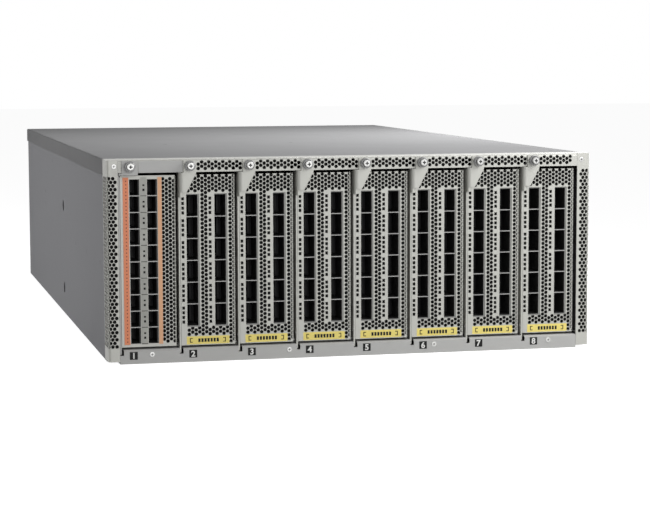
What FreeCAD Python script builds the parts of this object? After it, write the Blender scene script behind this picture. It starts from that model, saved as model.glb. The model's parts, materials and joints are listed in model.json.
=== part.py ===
import FreeCAD, Part
import math
import os

import Sketcher

# A modular network switch chassis, four rack units tall. Eight upright port modules fill the
# front, each held by an ejector lever and a captive screw; power supplies and fan trays fill
# the rear. Axes: X across the front, Y from the front plane to the rear, Z up.
# The origin is the middle of the base. Each sub-part is drawn from the front plane, the slot's
# lever line or the rear plane, and its Placement carries it to its place.

SLOTS = 8
SUPPLIES = 4
FAN_TRAYS = 3
FAN_BLADES = 7
SMALL_PORT_SLOTS = (1,)
SMALL_PORT_ROWS = 10
PORT_ROWS = 6

# Small round features are drawn with equal flats, this many around.
SHANK_FLATS = 8
SCREW_FLATS = 10
HEAD_FLATS = 12
HUB_FLATS = 28
DUCT_FLATS = 36

SIZES = (
    # sheets and clearances
    ("skin_sheet", 1.2),
    ("wall_sheet", 1.2),
    ("seam", 0.15),
    ("play", 0.3),
    ("overrun", 1.0),
    # front frame
    ("left_strip_width", 9.9),
    ("right_strip_width", 12.0),
    ("strip_lift", 2.2),
    ("frame_wrap", 25.0),
    ("frame_bend", 2.5),
    ("rail_height", 11.2),
    ("sill_height", 12.4),
    ("sill_lip", 1.5),
    ("notch_width", 3.2),
    ("notch_floor", 7.6),
    ("notch_run", 21.0),
    ("vent_hole", 2.9),
    ("vent_row", 3.1),
    ("vent_step", 3.58),
    ("vent_start", 15.5),
    ("vent_margin", 0.55),
    ("label_width", 38.5),
    ("label_sheet", 1.0),
    ("label_corner", 1.4),
    ("frame_screw", 2.25),
    ("frame_screw_proud", 0.4),
    ("corner_screw_left", 6.6),
    ("corner_screw_right", 8.0),
    ("sill_screw_rise", 7.8),
    ("sill_screw_1", 26.8),
    ("sill_screw_3", 44.5),
    ("sill_screw_6", 21.0),
    ("sill_screw_8", 24.8),
    # cover and sides
    ("cover_lap", 14.5),
    ("cover_bend", 1.5),
    ("rack_hole", 5.5),
    ("rack_hole_depth", 366.0),
    ("rack_hole_low", 26.7),
    ("rack_hole_rise", 85.3),
    # module bay
    ("slot_pitch", 52.1),
    ("slot_play", 0.3),
    ("bar_inset", 1.2),
    ("bottom_gap", 2.0),
    ("top_gap", 2.5),
    ("module_height", 148.9),
    ("module_width", 47.7),
    ("module_depth", 405.0),
    ("face_recess", 3.0),
    ("face_sheet", 1.2),
    ("face_bend", 3.0),
    ("face_return", 12.0),
    ("carrier_drop", 3.3),
    ("side_board_length", 138.0),
    ("guide_rib", 4.0),
    ("board_sheet", 1.6),
    # port columns of the wide-port module
    ("port_width", 10.0),
    ("port_pitch", 19.08),
    ("port_left", 6.3),
    ("port_right", 31.0),
    ("port_floor", 31.5),
    ("port_depth", 46.0),
    ("cage_sheet", 0.6),
    # port columns of the small-port module
    ("small_port_width", 8.8),
    ("small_port_pitch", 14.28),
    ("small_port_left", 7.9),
    ("small_port_right", 23.3),
    ("small_port_floor", 17.3),
    # ejector lever and its captive screw
    ("lever_sheet", 1.3),
    ("lever_play", 0.35),
    ("lever_recess", 2.6),
    ("lever_depth", 9.0),
    ("lever_toe", 8.2),
    ("lever_toe_depth", 5.0),
    ("lever_bend", 4.0),
    ("lever_reach", 14.5),
    ("lever_head_left", 3.4),
    ("lever_tab_left", 1.9),
    ("lever_tab_reach", 15.9),
    ("lever_head_front", 1.8),
    ("lever_head_top", 0.8),
    ("lever_wedge_foot", 33.0),
    ("lever_wedge_low", 28.5),
    ("lever_wedge_high", 12.0),
    ("lever_wedge_step", 6.0),
    ("lever_tab_foot", 13.2),
    ("pivot_rise", 22.0),
    ("pivot_set_back", 7.1),
    ("pivot_pin", 2.0),
    ("pivot_clearance", 0.18),
    ("screw_across", 8.7),
    ("screw_drop", 5.6),
    ("screw_head", 3.1),
    ("screw_head_length", 3.2),
    ("screw_shank", 2.0),
    ("screw_stand_off", 4.8),
    ("screw_clearance", 0.3),
    ("ferrule", 3.8),
    ("ferrule_length", 1.2),
    # midplane, power supplies and fan trays
    ("plug_gap", 1.0),
    ("plug_length", 9.0),
    ("plug_height", 90.0),
    ("plug_width", 6.3),
    ("socket_left", 6.3),
    ("socket_width", 31.0),
    ("midplane_sheet", 4.0),
    ("airway", 14.0),
    ("supply_length", 326.0),
    ("supply_height", 40.0),
    ("supply_gap", 1.0),
    ("inlet_width", 27.0),
    ("inlet_height", 20.0),
    ("inlet_depth", 18.0),
    ("inlet_left", 10.0),
    ("handle_left", 47.0),
    ("handle_span", 26.0),
    ("handle_reach", 24.0),
    ("handle_bar", 5.0),
    ("handle_height", 10.0),
    ("latch_width", 9.0),
    ("latch_height", 16.0),
    ("latch_reach", 12.0),
    ("latch_slot", 6.0),
    ("latch_travel", 3.0),
    ("latch_shoulder", 1.8),
    ("latch_tab", 3.6),
    ("rear_rail_drop", 15.0),
    ("fan_tray_depth", 56.0),
    ("strut_width", 5.0),
    ("strut_depth", 3.6),
    ("fan_bore", 54.0),
    ("fan_tip_gap", 1.2),
    ("fan_hub", 21.0),
    ("fan_hub_length", 30.0),
    ("blade_sheet", 1.8),
    ("blade_chord", 30.0),
    ("blade_pitch_angle", 38.0),
)

doc = FreeCAD.newDocument("ModularSwitch")
sizes = doc.addObject("Spreadsheet::Sheet", "sizes")


def fill_sheet():
    """Write each named size into the sheet as a plain number with an alias."""
    for row, (name, number) in enumerate(SIZES, 1):
        sizes.set("A%d" % row, name)
        sizes.set("B%d" % row, str(number))
        sizes.setAlias("B%d" % row, name)
    doc.recompute()


def cell(name):
    """The number that the sheet holds under this name."""
    return float(sizes.get(name))


def at(text):
    """Write an expression with bare size names as one that reads the sheet."""
    words = []
    word = ""
    for letter in text + " ":
        if letter.isalnum() or letter == "_":
            word += letter
            continue
        words.append("sizes." + word if word in NAMES else word)
        words.append(letter)
        word = ""
    return "(" + "".join(words).strip() + ")"


NAMES = {name for name, _ in SIZES}

# Overall sizes follow from what fills them.
WIDTH = at("left_strip_width + %d * slot_pitch + slot_play + right_strip_width" % SLOTS)
HEIGHT = at("sill_height + bottom_gap + module_height + top_gap + rail_height")
BOARD_END = at("face_recess + module_depth")
MIDPLANE = BOARD_END + " + " + at("plug_gap + plug_length")
DEPTH = MIDPLANE + " + " + at("midplane_sheet + airway + supply_length")
INNER = WIDTH + " - 2 * " + at("skin_sheet + wall_sheet")
FACE_FOOT = at("sill_height + bottom_gap")
FACE_LEFT = at("lever_sheet / 2 + lever_play")
SUPPLY_PITCH = "(" + INNER + ") / %d" % SUPPLIES
TRAY_PITCH = "(" + INNER + ") / %d" % FAN_TRAYS
SHELF_TOP = at("wall_sheet + play + supply_height + play + wall_sheet")
SCREW_RISE = HEIGHT + " - " + at("screw_drop")
TRAY_HEIGHT = HEIGHT + " - " + at("skin_sheet + rear_rail_drop + 2 * play") + " - " + SHELF_TOP

parts = {}


def keep(node, shape_object, x="0", y="0", z="0"):
    """Label a finished sub-part, place it and list it for writing."""
    shape_object.Label = node
    for axis, place in zip("xyz", (x, y, z)):
        shape_object.setExpression("Placement.Base." + axis, place)
    parts[node] = shape_object
    return shape_object


def front(node, shape_object, x="0"):
    """Keep a sub-part that is drawn from the front plane."""
    return keep(node, shape_object, x, "-(" + DEPTH + ") / 2")


def rear(node, shape_object, x="0"):
    """Keep a sub-part that is drawn from the rear plane."""
    return keep(node, shape_object, x, "(" + DEPTH + ") / 2")


def bar_line(slot):
    """The middle of a slot's lever bar, measured across the chassis."""
    return "-(" + WIDTH + ") / 2 + " + at("left_strip_width + bar_inset + %d * slot_pitch" % (slot - 1))


def box(name, low, size):
    """A Part box from its low corner and its size, both as expressions."""
    solid = doc.addObject("Part::Box", name)
    for side, length in zip(("Length", "Width", "Height"), size):
        solid.setExpression(side, length)
    for axis, place in zip("xyz", low):
        solid.setExpression("Placement.Base." + axis, place)
    return solid


TURNS = {
    "X": FreeCAD.Rotation(FreeCAD.Vector(0, 1, 0), 90),
    "Y": FreeCAD.Rotation(FreeCAD.Vector(1, 0, 0), -90),
    "Z": FreeCAD.Rotation(),
}


def rod(name, along, low, radius, length):
    """A Part cylinder that runs along one axis from its low end."""
    solid = doc.addObject("Part::Cylinder", name)
    solid.Placement = FreeCAD.Placement(FreeCAD.Vector(), TURNS[along])
    solid.setExpression("Radius", radius)
    solid.setExpression("Height", length)
    for axis, place in zip("xyz", low):
        solid.setExpression("Placement.Base." + axis, place)
    return solid


def flats(name, along, low, sides, radius, length):
    """A Part prism with equal flats that runs along one axis from its low end."""
    solid = doc.addObject("Part::Prism", name)
    solid.Polygon = sides
    solid.Placement = FreeCAD.Placement(FreeCAD.Vector(), TURNS[along])
    solid.setExpression("Circumradius", radius)
    solid.setExpression("Height", length)
    for axis, place in zip("xyz", low):
        solid.setExpression("Placement.Base." + axis, place)
    return solid


def cut(name, base, tools):
    """Take one or more tools out of a base."""
    result = doc.addObject("Part::Cut", name)
    result.Base = base
    result.Tool = tools[0] if len(tools) == 1 else group(name + "_tools", tools)
    return result


def fuse(name, pieces):
    """Join pieces into one solid."""
    result = doc.addObject("Part::MultiFuse", name)
    result.Shapes = pieces
    result.Refine = True
    return result


def group(name, pieces):
    """Hold separate solids together as one sub-part."""
    result = doc.addObject("Part::Compound", name)
    result.Links = pieces
    return result


def sketch_on(body, name, plane, start):
    """A sketch on one of the body's own origin planes, set off along the plane's axis."""
    sketch = body.newObject("Sketcher::SketchObject", name)
    feature = next(f for f in body.Origin.OriginFeatures if f.Role == plane + "_Plane")
    sketch.AttachmentSupport = [(feature, "")]
    sketch.MapMode = "FlatFace"
    sign = "-" if plane == "XZ" else ""
    sketch.setExpression("AttachmentOffset.Base.z", sign + "(" + start + ")")
    return sketch


def outline(sketch, corners):
    """Draw a closed outline whose corners are held by expressions."""
    count = len(corners)
    ring = [
        FreeCAD.Vector(math.cos(2 * math.pi * i / count), math.sin(2 * math.pi * i / count), 0)
        for i in range(count)
    ]
    first = sketch.GeometryCount
    for i in range(count):
        sketch.addGeometry(Part.LineSegment(ring[i], ring[(i + 1) % count]), False)
    for i in range(count):
        follower = first + (i + 1) % count
        sketch.addConstraint(Sketcher.Constraint("Coincident", first + i, 2, follower, 1))
    for i, corner in enumerate(corners):
        for kind, place, start in zip(("DistanceX", "DistanceY"), corner, (ring[i].x, ring[i].y)):
            held = sketch.addConstraint(Sketcher.Constraint(kind, -1, 1, first + i, 1, start))
            sketch.setExpression("Constraints[%d]" % held, place)


def rectangle(sketch, low, size):
    """A rectangle from its low corner and its size."""
    x, y = low
    far_x = x + " + " + size[0]
    far_y = y + " + " + size[1]
    outline(sketch, ((x, y), (far_x, y), (far_x, far_y), (x, far_y)))


def flat_ring(sketch, centre, sides, radius):
    """A closed ring of equal flats around a centre, for small bores and heads."""
    corners = []
    for step in range(sides):
        turn = 2 * math.pi * (step + 0.5) / sides
        corners.append(("%s + (%s) * %.6f" % (centre[0], radius, math.cos(turn)),
                        "%s + (%s) * %.6f" % (centre[1], radius, math.sin(turn))))
    outline(sketch, corners)


def pad(body, name, sketch, plane, length):
    """Grow a sketch along its plane's axis, in the positive direction."""
    feature = body.newObject("PartDesign::Pad", name)
    feature.Profile = sketch
    feature.Reversed = plane == "XZ"
    feature.setExpression("Length", length)
    sketch.Visibility = False
    return feature


def pocket(body, name, sketch, plane, length):
    """Cut a sketch along its plane's axis, in the positive direction."""
    feature = body.newObject("PartDesign::Pocket", name)
    feature.Profile = sketch
    feature.Reversed = plane != "XZ"
    feature.setExpression("Length", length)
    sketch.Visibility = False
    return feature


def repeat(body, name, feature, axis, pitch, count):
    """Repeat a feature along one of the body's axes."""
    row = body.newObject("PartDesign::LinearPattern", name)
    row.Originals = [feature]
    line = next(f for f in body.Origin.OriginFeatures if f.Role == axis + "_Axis")
    row.Direction = (line, [""])
    row.Occurrences = count
    row.setExpression("Length", "(" + pitch + ") * %d" % (count - 1))
    body.Tip = row
    return row


def round_edges(body, name, radius, chosen):
    """Fillet the tip's edges that a test picks by their middle, direction and the tip's box."""
    doc.recompute()
    base = body.Tip
    limits = base.Shape.BoundBox
    edges = []
    for number, edge in enumerate(base.Shape.Edges, 1):
        middle = edge.CenterOfMass
        direction = edge.tangentAt(edge.FirstParameter)
        if chosen(middle, direction, limits):
            edges.append("Edge%d" % number)
    fillet = body.newObject("PartDesign::Fillet", name)
    fillet.Base = (base, edges)
    fillet.setExpression("Radius", radius)
    body.Tip = fillet
    return fillet


def near(a, b):
    """True where two places agree to a hundredth of a millimetre."""
    return abs(a - b) < 0.01


def new_body(name):
    """An empty design body."""
    return doc.addObject("PartDesign::Body", name)


def slab(name, low, size):
    """A flat rectangular sheet or board as a body: a rectangle in plan, grown upwards."""
    body = new_body(name + "_body")
    sketch = sketch_on(body, name + "_outline", "XY", low[2])
    rectangle(sketch, (low[0], low[1]), (size[0], size[1]))
    pad(body, name + "_pad", sketch, "XY", size[2])
    return body


# ---- chassis -------------------------------------------------------------------------------

def make_floor_pan():
    """Flat base sheet between the side walls, behind the sill."""
    low = ("-(" + INNER + ") / 2", at("frame_wrap"), "0")
    size = (INNER, DEPTH + " - " + at("frame_wrap"), at("wall_sheet"))
    front("floor_pan", slab("floor_pan", low, size))


def make_side_wall(node, side):
    """Flat side sheet with two holes for the rack rail; side is -1 for left, 1 for right."""
    outer = "(" + WIDTH + ") / 2 - " + at("skin_sheet")
    left_face = "-(" + outer + ")" if side < 0 else outer + " - " + at("wall_sheet")
    low = (left_face, at("frame_wrap - 3 * skin_sheet"), "0")
    size = (at("wall_sheet"), DEPTH + " - " + at("frame_wrap - 3 * skin_sheet"),
            HEIGHT + " - " + at("skin_sheet"))
    sheet = box(node + "_sheet", low, size)
    holes = []
    for number, rise in enumerate((at("rack_hole_low"), at("rack_hole_low + rack_hole_rise"))):
        end = (left_face + " - " + at("overrun"), at("rack_hole_depth"), rise)
        holes.append(rod("%s_hole_%d" % (node, number), "X", end, at("rack_hole"),
                         at("wall_sheet + 2 * overrun")))
    front(node, cut(node + "_cut", sheet, holes))


def make_top_cover():
    """Folded cover: a flat top with a lap down each side, bent at the long edges."""
    body = new_body("top_cover_body")
    half = "(" + WIDTH + ") / 2"
    inner = "(" + WIDTH + ") / 2 - " + at("skin_sheet")
    top = HEIGHT
    under = HEIGHT + " - " + at("skin_sheet")
    lap = HEIGHT + " - " + at("cover_lap")
    sketch = sketch_on(body, "cover_profile", "XZ", at("frame_wrap + seam"))
    outline(sketch, (
        ("-(" + half + ")", lap), ("-(" + half + ")", top), (half, top), (half, lap),
        (inner, lap), (inner, under), ("-(" + inner + ")", under), ("-(" + inner + ")", lap)))
    pad(body, "cover_pad", sketch, "XZ", DEPTH + " - " + at("frame_wrap + seam"))
    round_edges(body, "cover_bends", at("cover_bend"), lambda middle, direction, limits:
                abs(direction.y) > 0.99 and near(middle.z, limits.ZMax)
                and (near(middle.x, limits.XMin) or near(middle.x, limits.XMax)))
    front("top_cover", body)


def ring_of_flats(sides, radius, x=0, z=0):
    """A closed ring of equal flats in the plane y = 0, with one corner straight up."""
    corners = []
    for step in range(sides + 1):
        turn = 2 * math.pi * step / sides
        corners.append(FreeCAD.Vector(x + radius * math.sin(turn), 0, z + radius * math.cos(turn)))
    return Part.Face(Part.Wire(Part.makePolygon(corners)))


def vent_tool(name, spots):
    """Prisms through the front sheet for vent holes at the given places across and up."""
    depth = cell("skin_sheet") + 2 * cell("overrun")
    prisms = []
    for x, z in spots:
        prism = ring_of_flats(6, cell("vent_hole") / math.sqrt(3), x, z).extrude(FreeCAD.Vector(0, depth, 0))
        prism.translate(FreeCAD.Vector(0, -cell("overrun"), 0))
        prisms.append(prism)
    tool = doc.addObject("Part::Feature", name)
    tool.Shape = Part.makeCompound(prisms)
    return tool


def strip_vents():
    """Places of a strip's flat vents: rows one above another, odd rows half a step further in."""
    top = cell("sill_height") + cell("bottom_gap") + cell("module_height")
    first = cell("frame_bend") + cell("vent_margin") + cell("vent_hole") / 2
    rows = int((top - cell("vent_start")) / cell("vent_row"))
    for row in range(rows):
        x = first + (row % 2) * cell("vent_step") / 2
        yield x, cell("vent_start") + row * cell("vent_row")


def make_vent_strip(node, side, width):
    """Bent strip at one side of the frame: a vented front face and a return along the side."""
    body = new_body(node + "_body")
    # The strip is drawn on the left and its own edge is x = 0; x grows towards the slots.
    sign = "" if side < 0 else "-"
    far_edge = sign + at(width)
    inside = sign + at("skin_sheet")
    sketch = sketch_on(body, node + "_profile", "XY", at("strip_lift"))
    outline(sketch, (
        ("0", "0"), (far_edge, "0"), (far_edge, at("skin_sheet")), (inside, at("skin_sheet")),
        (inside, at("frame_wrap")), ("0", at("frame_wrap"))))
    pad(body, node + "_pad", sketch, "XY", HEIGHT + " - " + at("strip_lift"))
    round_edges(body, node + "_bend", at("frame_bend"), lambda middle, direction, limits:
                abs(direction.z) > 0.99 and near(middle.x, 0) and near(middle.y, 0))
    round_edges(body, node + "_inner_bend", at("frame_bend - skin_sheet"), lambda middle, direction, limits:
                abs(direction.z) > 0.99 and near(abs(middle.x), cell("skin_sheet"))
                and near(middle.y, cell("skin_sheet")))
    holes = vent_tool(node + "_holes", [(-side * x, z) for x, z in strip_vents()])
    place = "-(" + WIDTH + ") / 2" if side < 0 else "(" + WIDTH + ") / 2"
    front(node, cut(node + "_cut", body, [holes]), place)


def make_top_rail():
    """Bent top rail: a front face between the strips, a return over the top, screw holes."""
    body = new_body("top_rail_body")
    start = "-(" + WIDTH + ") / 2 + " + at("skin_sheet + seam")
    span = WIDTH + " - 2 * " + at("skin_sheet + seam")
    low = HEIGHT + " - " + at("rail_height")
    under = HEIGHT + " - " + at("skin_sheet")
    sketch = sketch_on(body, "rail_profile", "YZ", start)
    outline(sketch, (
        ("0", low), (at("skin_sheet"), low), (at("skin_sheet"), under), (at("frame_wrap"), under),
        (at("frame_wrap"), HEIGHT), ("0", HEIGHT)))
    pad(body, "rail_pad", sketch, "YZ", span)
    round_edges(body, "rail_bend", at("frame_bend"), lambda middle, direction, limits:
                abs(direction.x) > 0.99 and near(middle.y, 0) and near(middle.z, limits.ZMax))
    round_edges(body, "rail_inner_bend", at("frame_bend - skin_sheet"), lambda middle, direction, limits:
                abs(direction.x) > 0.99 and near(middle.y, cell("skin_sheet"))
                and middle.z > limits.ZMax - cell("frame_bend"))
    for side, width in (("left", at("left_strip_width")), ("right", at("right_strip_width"))):
        ends = sketch_on(body, "rail_%s_end" % side, "XZ", at("-overrun"))
        if side == "left":
            corner = "-(" + WIDTH + ") / 2"
        else:
            corner = "(" + WIDTH + ") / 2 - " + width + " - " + at("seam")
        rectangle(ends, (corner, low + " - " + at("overrun")),
                  (width + " + " + at("seam"), at("rail_height + 2 * overrun")))
        pocket(body, "rail_%s_cut" % side, ends, "XZ", at("skin_sheet + seam + overrun"))
    screws = sketch_on(body, "rail_screw", "XZ", at("-overrun"))
    flat_ring(screws, (bar_line(1) + " + " + at("screw_across"), SCREW_RISE), SHANK_FLATS,
              at("screw_shank + screw_clearance"))
    hole = pocket(body, "rail_screw_hole", screws, "XZ", at("skin_sheet + 2 * overrun"))
    repeat(body, "rail_screw_row", hole, "X", at("slot_pitch"), SLOTS)
    front("top_vent_rail", body)


def make_sill():
    """Folded sill under the modules, notched at each slot for the lever's toe."""
    body = new_body("bottom_sill_body")
    start = "-(" + WIDTH + ") / 2 + " + at("left_strip_width + seam")
    span = WIDTH + " - " + at("left_strip_width + right_strip_width + 2 * seam")
    sheet = at("skin_sheet")
    rise = at("sill_height")
    run = at("frame_wrap")
    sketch = sketch_on(body, "sill_profile", "YZ", start)
    outline(sketch, (
        ("0", "0"), (run, "0"), (run, sheet), (sheet, sheet), (sheet, at("sill_height - skin_sheet")),
        (run, at("sill_height - skin_sheet")), (run, rise), (at("sill_lip"), rise),
        ("0", at("sill_height - sill_lip"))))
    pad(body, "sill_pad", sketch, "YZ", span)
    notch = sketch_on(body, "sill_notch", "XZ", at("-overrun"))
    rectangle(notch, (bar_line(1) + " - " + at("lever_sheet / 2 + play"), at("notch_floor")),
              (at("notch_width"), at("sill_height + overrun - notch_floor")))
    opening = pocket(body, "sill_notch_cut", notch, "XZ", at("notch_run + overrun"))
    repeat(body, "sill_notches", opening, "X", at("slot_pitch"), SLOTS)
    front("bottom_sill", body)


def make_label_plate():
    """Plain plate with rounded corners on the rail, beside the first lever's head."""
    body = new_body("label_plate_body")
    start = bar_line(1) + " + " + at("lever_tab_reach + 2 * play")
    sketch = sketch_on(body, "label_outline", "XZ", at("-label_sheet"))
    rectangle(sketch, (start, HEIGHT + " - " + at("rail_height")),
              (at("label_width"), at("rail_height - frame_bend / 2")))
    pad(body, "label_pad", sketch, "XZ", at("label_sheet"))
    round_edges(body, "label_corners", at("label_corner"), lambda middle, direction, limits:
                abs(direction.y) > 0.99)
    front("label_plate", body)


def make_card_shelf():
    """Shelf that the modules stand on, with a low guide rib on each side of every module."""
    body = new_body("card_shelf_body")
    start = at("frame_wrap")
    sketch = sketch_on(body, "shelf_outline", "XY", at("sill_height - wall_sheet"))
    run = MIDPLANE + " - " + start
    rectangle(sketch, ("-(" + INNER + ") / 2", start), (INNER, run))
    pad(body, "shelf_pad", sketch, "XY", at("wall_sheet"))
    ribs = sketch_on(body, "shelf_ribs", "XY", at("sill_height - wall_sheet / 2"))
    rectangle(ribs, (bar_line(1) + " + " + FACE_LEFT, start), (at("guide_rib"), run))
    rectangle(ribs, (bar_line(1) + " + " + FACE_LEFT + " + " + at("module_width - guide_rib"), start),
              (at("guide_rib"), run))
    rib = pad(body, "shelf_rib_pair", ribs, "XY", at("wall_sheet / 2 + bottom_gap - play"))
    repeat(body, "shelf_rib_rows", rib, "X", at("slot_pitch"), SLOTS)
    front("card_shelf", body)


def make_midplane():
    """Upright board behind the modules, with one socket block for each slot."""
    low = ("-(" + INNER + ") / 2", MIDPLANE, at("wall_sheet"))
    rise = HEIGHT + " - " + at("skin_sheet + rear_rail_drop + wall_sheet")
    pieces = [box("midplane_board", low, (INNER, at("midplane_sheet"), rise))]
    for slot in range(1, SLOTS + 1):
        corner = (bar_line(slot) + " + " + at("socket_left"), BOARD_END + " + " + at("plug_gap"),
                  FACE_FOOT + " + " + at("guide_rib"))
        size = (at("socket_width"), at("plug_length"), at("plug_height"))
        pieces.append(box("midplane_socket_%d" % slot, corner, size))
    front("midplane", group("midplane_group", pieces))


def make_rear_frame():
    """Shelf between the power supplies and the fan trays, and the rail above the fan trays."""
    back = MIDPLANE + " + " + at("midplane_sheet")
    low = ("-(" + INNER + ") / 2", back, SHELF_TOP + " - " + at("wall_sheet"))
    size = (INNER, DEPTH + " - (" + back + ")", at("wall_sheet"))
    front("rear_shelf", slab("rear_shelf", low, size))
    body = new_body("rear_rail_body")
    sketch = sketch_on(body, "rear_rail_profile", "YZ", "-(" + INNER + ") / 2")
    low_edge = HEIGHT + " - " + at("skin_sheet + rear_rail_drop")
    top = HEIGHT + " - " + at("skin_sheet")
    rear_face = DEPTH
    inside = DEPTH + " - " + at("wall_sheet")
    reach = DEPTH + " - " + at("frame_wrap")
    outline(sketch, (
        (rear_face, low_edge), (rear_face, top), (reach, top), (reach, top + " - " + at("wall_sheet")),
        (inside, top + " - " + at("wall_sheet")), (inside, low_edge)))
    pad(body, "rear_rail_pad", sketch, "YZ", INNER)
    front("rear_top_rail", body)


def make_frame_screws():
    """Flat screw heads on the frame: one at each top corner and four along the sill."""
    top = HEIGHT + " - " + at("rail_height / 2")
    left = "-(" + WIDTH + ") / 2 + " + at("corner_screw_left")
    right = "(" + WIDTH + ") / 2 - " + at("corner_screw_right")
    spots = [(left, top), (right, top)]
    for slot in (1, 3, 6, 8):
        spots.append((bar_line(slot) + " + " + at("sill_screw_%d" % slot), at("sill_screw_rise")))
    heads = []
    for number, (x, z) in enumerate(spots):
        low = (x, at("-frame_screw_proud"), z)
        heads.append(flats("frame_screw_%d" % number, "Y", low, SCREW_FLATS,
                           at("frame_screw"), at("frame_screw_proud")))
    front("frame_screws", group("frame_screw_group", heads))


# ---- port modules --------------------------------------------------------------------------

def port_layout(slot):
    """Names of the sizes that set a slot's two port columns, and the ports in each column."""
    if slot in SMALL_PORT_SLOTS:
        return ("small_port_left", "small_port_right", "small_port_width", "small_port_pitch",
                "small_port_floor", SMALL_PORT_ROWS)
    return ("port_left", "port_right", "port_width", "port_pitch", "port_floor", PORT_ROWS)


def make_faceplate(slot):
    """Folded carrier: faceplate with two port windows, side wall, floor lip and lever pivot pin."""
    node = "slot_%d_faceplate" % slot
    body = new_body(node + "_body")
    left = FACE_LEFT
    right = FACE_LEFT + " + " + at("module_width")
    near_side = at("face_recess")
    sheet = at("face_sheet")
    profile = sketch_on(body, node + "_profile", "XY", FACE_FOOT)
    outline(profile, (
        (left, near_side), (right, near_side), (right, at("face_recess + face_return")),
        (right + " - " + sheet, at("face_recess + face_return")),
        (right + " - " + sheet, at("face_recess + face_sheet")),
        (left + " + " + sheet, at("face_recess + face_sheet")), (left + " + " + sheet, BOARD_END),
        (left, BOARD_END)))
    pad(body, node + "_fold", profile, "XY", at("module_height"))
    round_edges(body, node + "_bend", at("face_bend"), lambda middle, direction, limits:
                abs(direction.z) > 0.99 and near(middle.x, limits.XMax) and near(middle.y, limits.YMin))
    round_edges(body, node + "_inner_bend", at("face_bend - face_sheet"), lambda middle, direction, limits:
                abs(direction.z) > 0.99 and near(middle.x, limits.XMax - cell("face_sheet"))
                and near(middle.y, limits.YMin + cell("face_sheet")))
    lip = sketch_on(body, node + "_lip", "XY", FACE_FOOT)
    rectangle(lip, (left + " + " + sheet + " / 2", at("face_recess + face_sheet / 2")),
              (at("module_width - 2 * face_sheet"), at("module_depth - face_sheet / 2")))
    pad(body, node + "_lip_pad", lip, "XY", sheet)
    drop = sketch_on(body, node + "_drop", "YZ", left + " - " + at("overrun"))
    rectangle(drop, (at("frame_wrap"), FACE_FOOT + " + " + at("module_height - carrier_drop")),
              (BOARD_END, at("carrier_drop + overrun")))
    pocket(body, node + "_drop_cut", drop, "YZ", at("face_sheet + 2 * overrun"))
    near_column, far_column, width, pitch, floor, count = port_layout(slot)
    windows = sketch_on(body, node + "_windows", "XZ", at("face_recess - overrun"))
    rise = at("%s * %d" % (pitch, count))
    rectangle(windows, (at(near_column), at(floor)), (at(width), rise))
    rectangle(windows, (at(far_column), at(floor)), (at(width), rise))
    pocket(body, node + "_window_cut", windows, "XZ", at("face_sheet + 2 * overrun"))
    shank = sketch_on(body, node + "_pin", "YZ", at("-lever_sheet / 2 - play"))
    flat_ring(shank, (at("pivot_set_back"), at("pivot_rise")), HEAD_FLATS, at("pivot_pin"))
    pad(body, node + "_pin_shank", shank, "YZ", at("lever_sheet / 2 + play + face_sheet") + " + " + left)
    front(node, body, bar_line(slot))


def make_cage(slot, number, column):
    """One column of port cages: two side plates and the shelves that part the ports."""
    _, _, width, pitch, floor, count = port_layout(slot)
    name = "slot_%d_cage_%d" % (slot, number)
    near_side = at("face_recess + face_sheet")
    sheet = at("cage_sheet")
    plates = []
    for side, place in (("left", at(column + " - cage_sheet")), ("right", at(column + " + " + width))):
        low = (place, near_side, at(floor + " - cage_sheet / 2"))
        size = (sheet, at("port_depth"), at("%s * %d + cage_sheet" % (pitch, count)))
        plates.append(box("%s_%s" % (name, side), low, size))
    for shelf in range(count + 1):
        low = (at(column), near_side, at("%s + %s * %d - cage_sheet / 2" % (floor, pitch, shelf)))
        plates.append(box("%s_shelf_%d" % (name, shelf), low, (at(width), at("port_depth"), sheet)))
    return plates


def make_port_board(slot):
    """The two boards of one module, the cages of its port columns and the plug at the rear."""
    node = "slot_%d_port_board" % slot
    near_column, far_column, width, pitch, floor, count = port_layout(slot)
    plates = make_cage(slot, 1, near_column) + make_cage(slot, 2, far_column)
    foot = FACE_FOOT + " + " + at("face_sheet")
    start = at("face_recess + face_sheet + 3 * play")
    rise = at("module_height - carrier_drop - 2 * face_sheet")
    main = box(node + "_main", (at(near_column + " + " + width + " + cage_sheet"), start, foot),
               (at("board_sheet"), BOARD_END + " - " + start, rise))
    side = box(node + "_side", (at(far_column + " + " + width + " + cage_sheet"), start, foot),
               (at("board_sheet"), at("side_board_length"), rise))
    plug_low = (at(near_column + " + " + width + " + cage_sheet + board_sheet"),
                BOARD_END + " - " + at("plug_length"), FACE_FOOT + " + " + at("guide_rib"))
    plug = box(node + "_plug", plug_low, (at("plug_width"), at("plug_length"), at("plug_height")))
    front(node, group(node + "_group", plates + [main, side, plug]), bar_line(slot))


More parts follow.
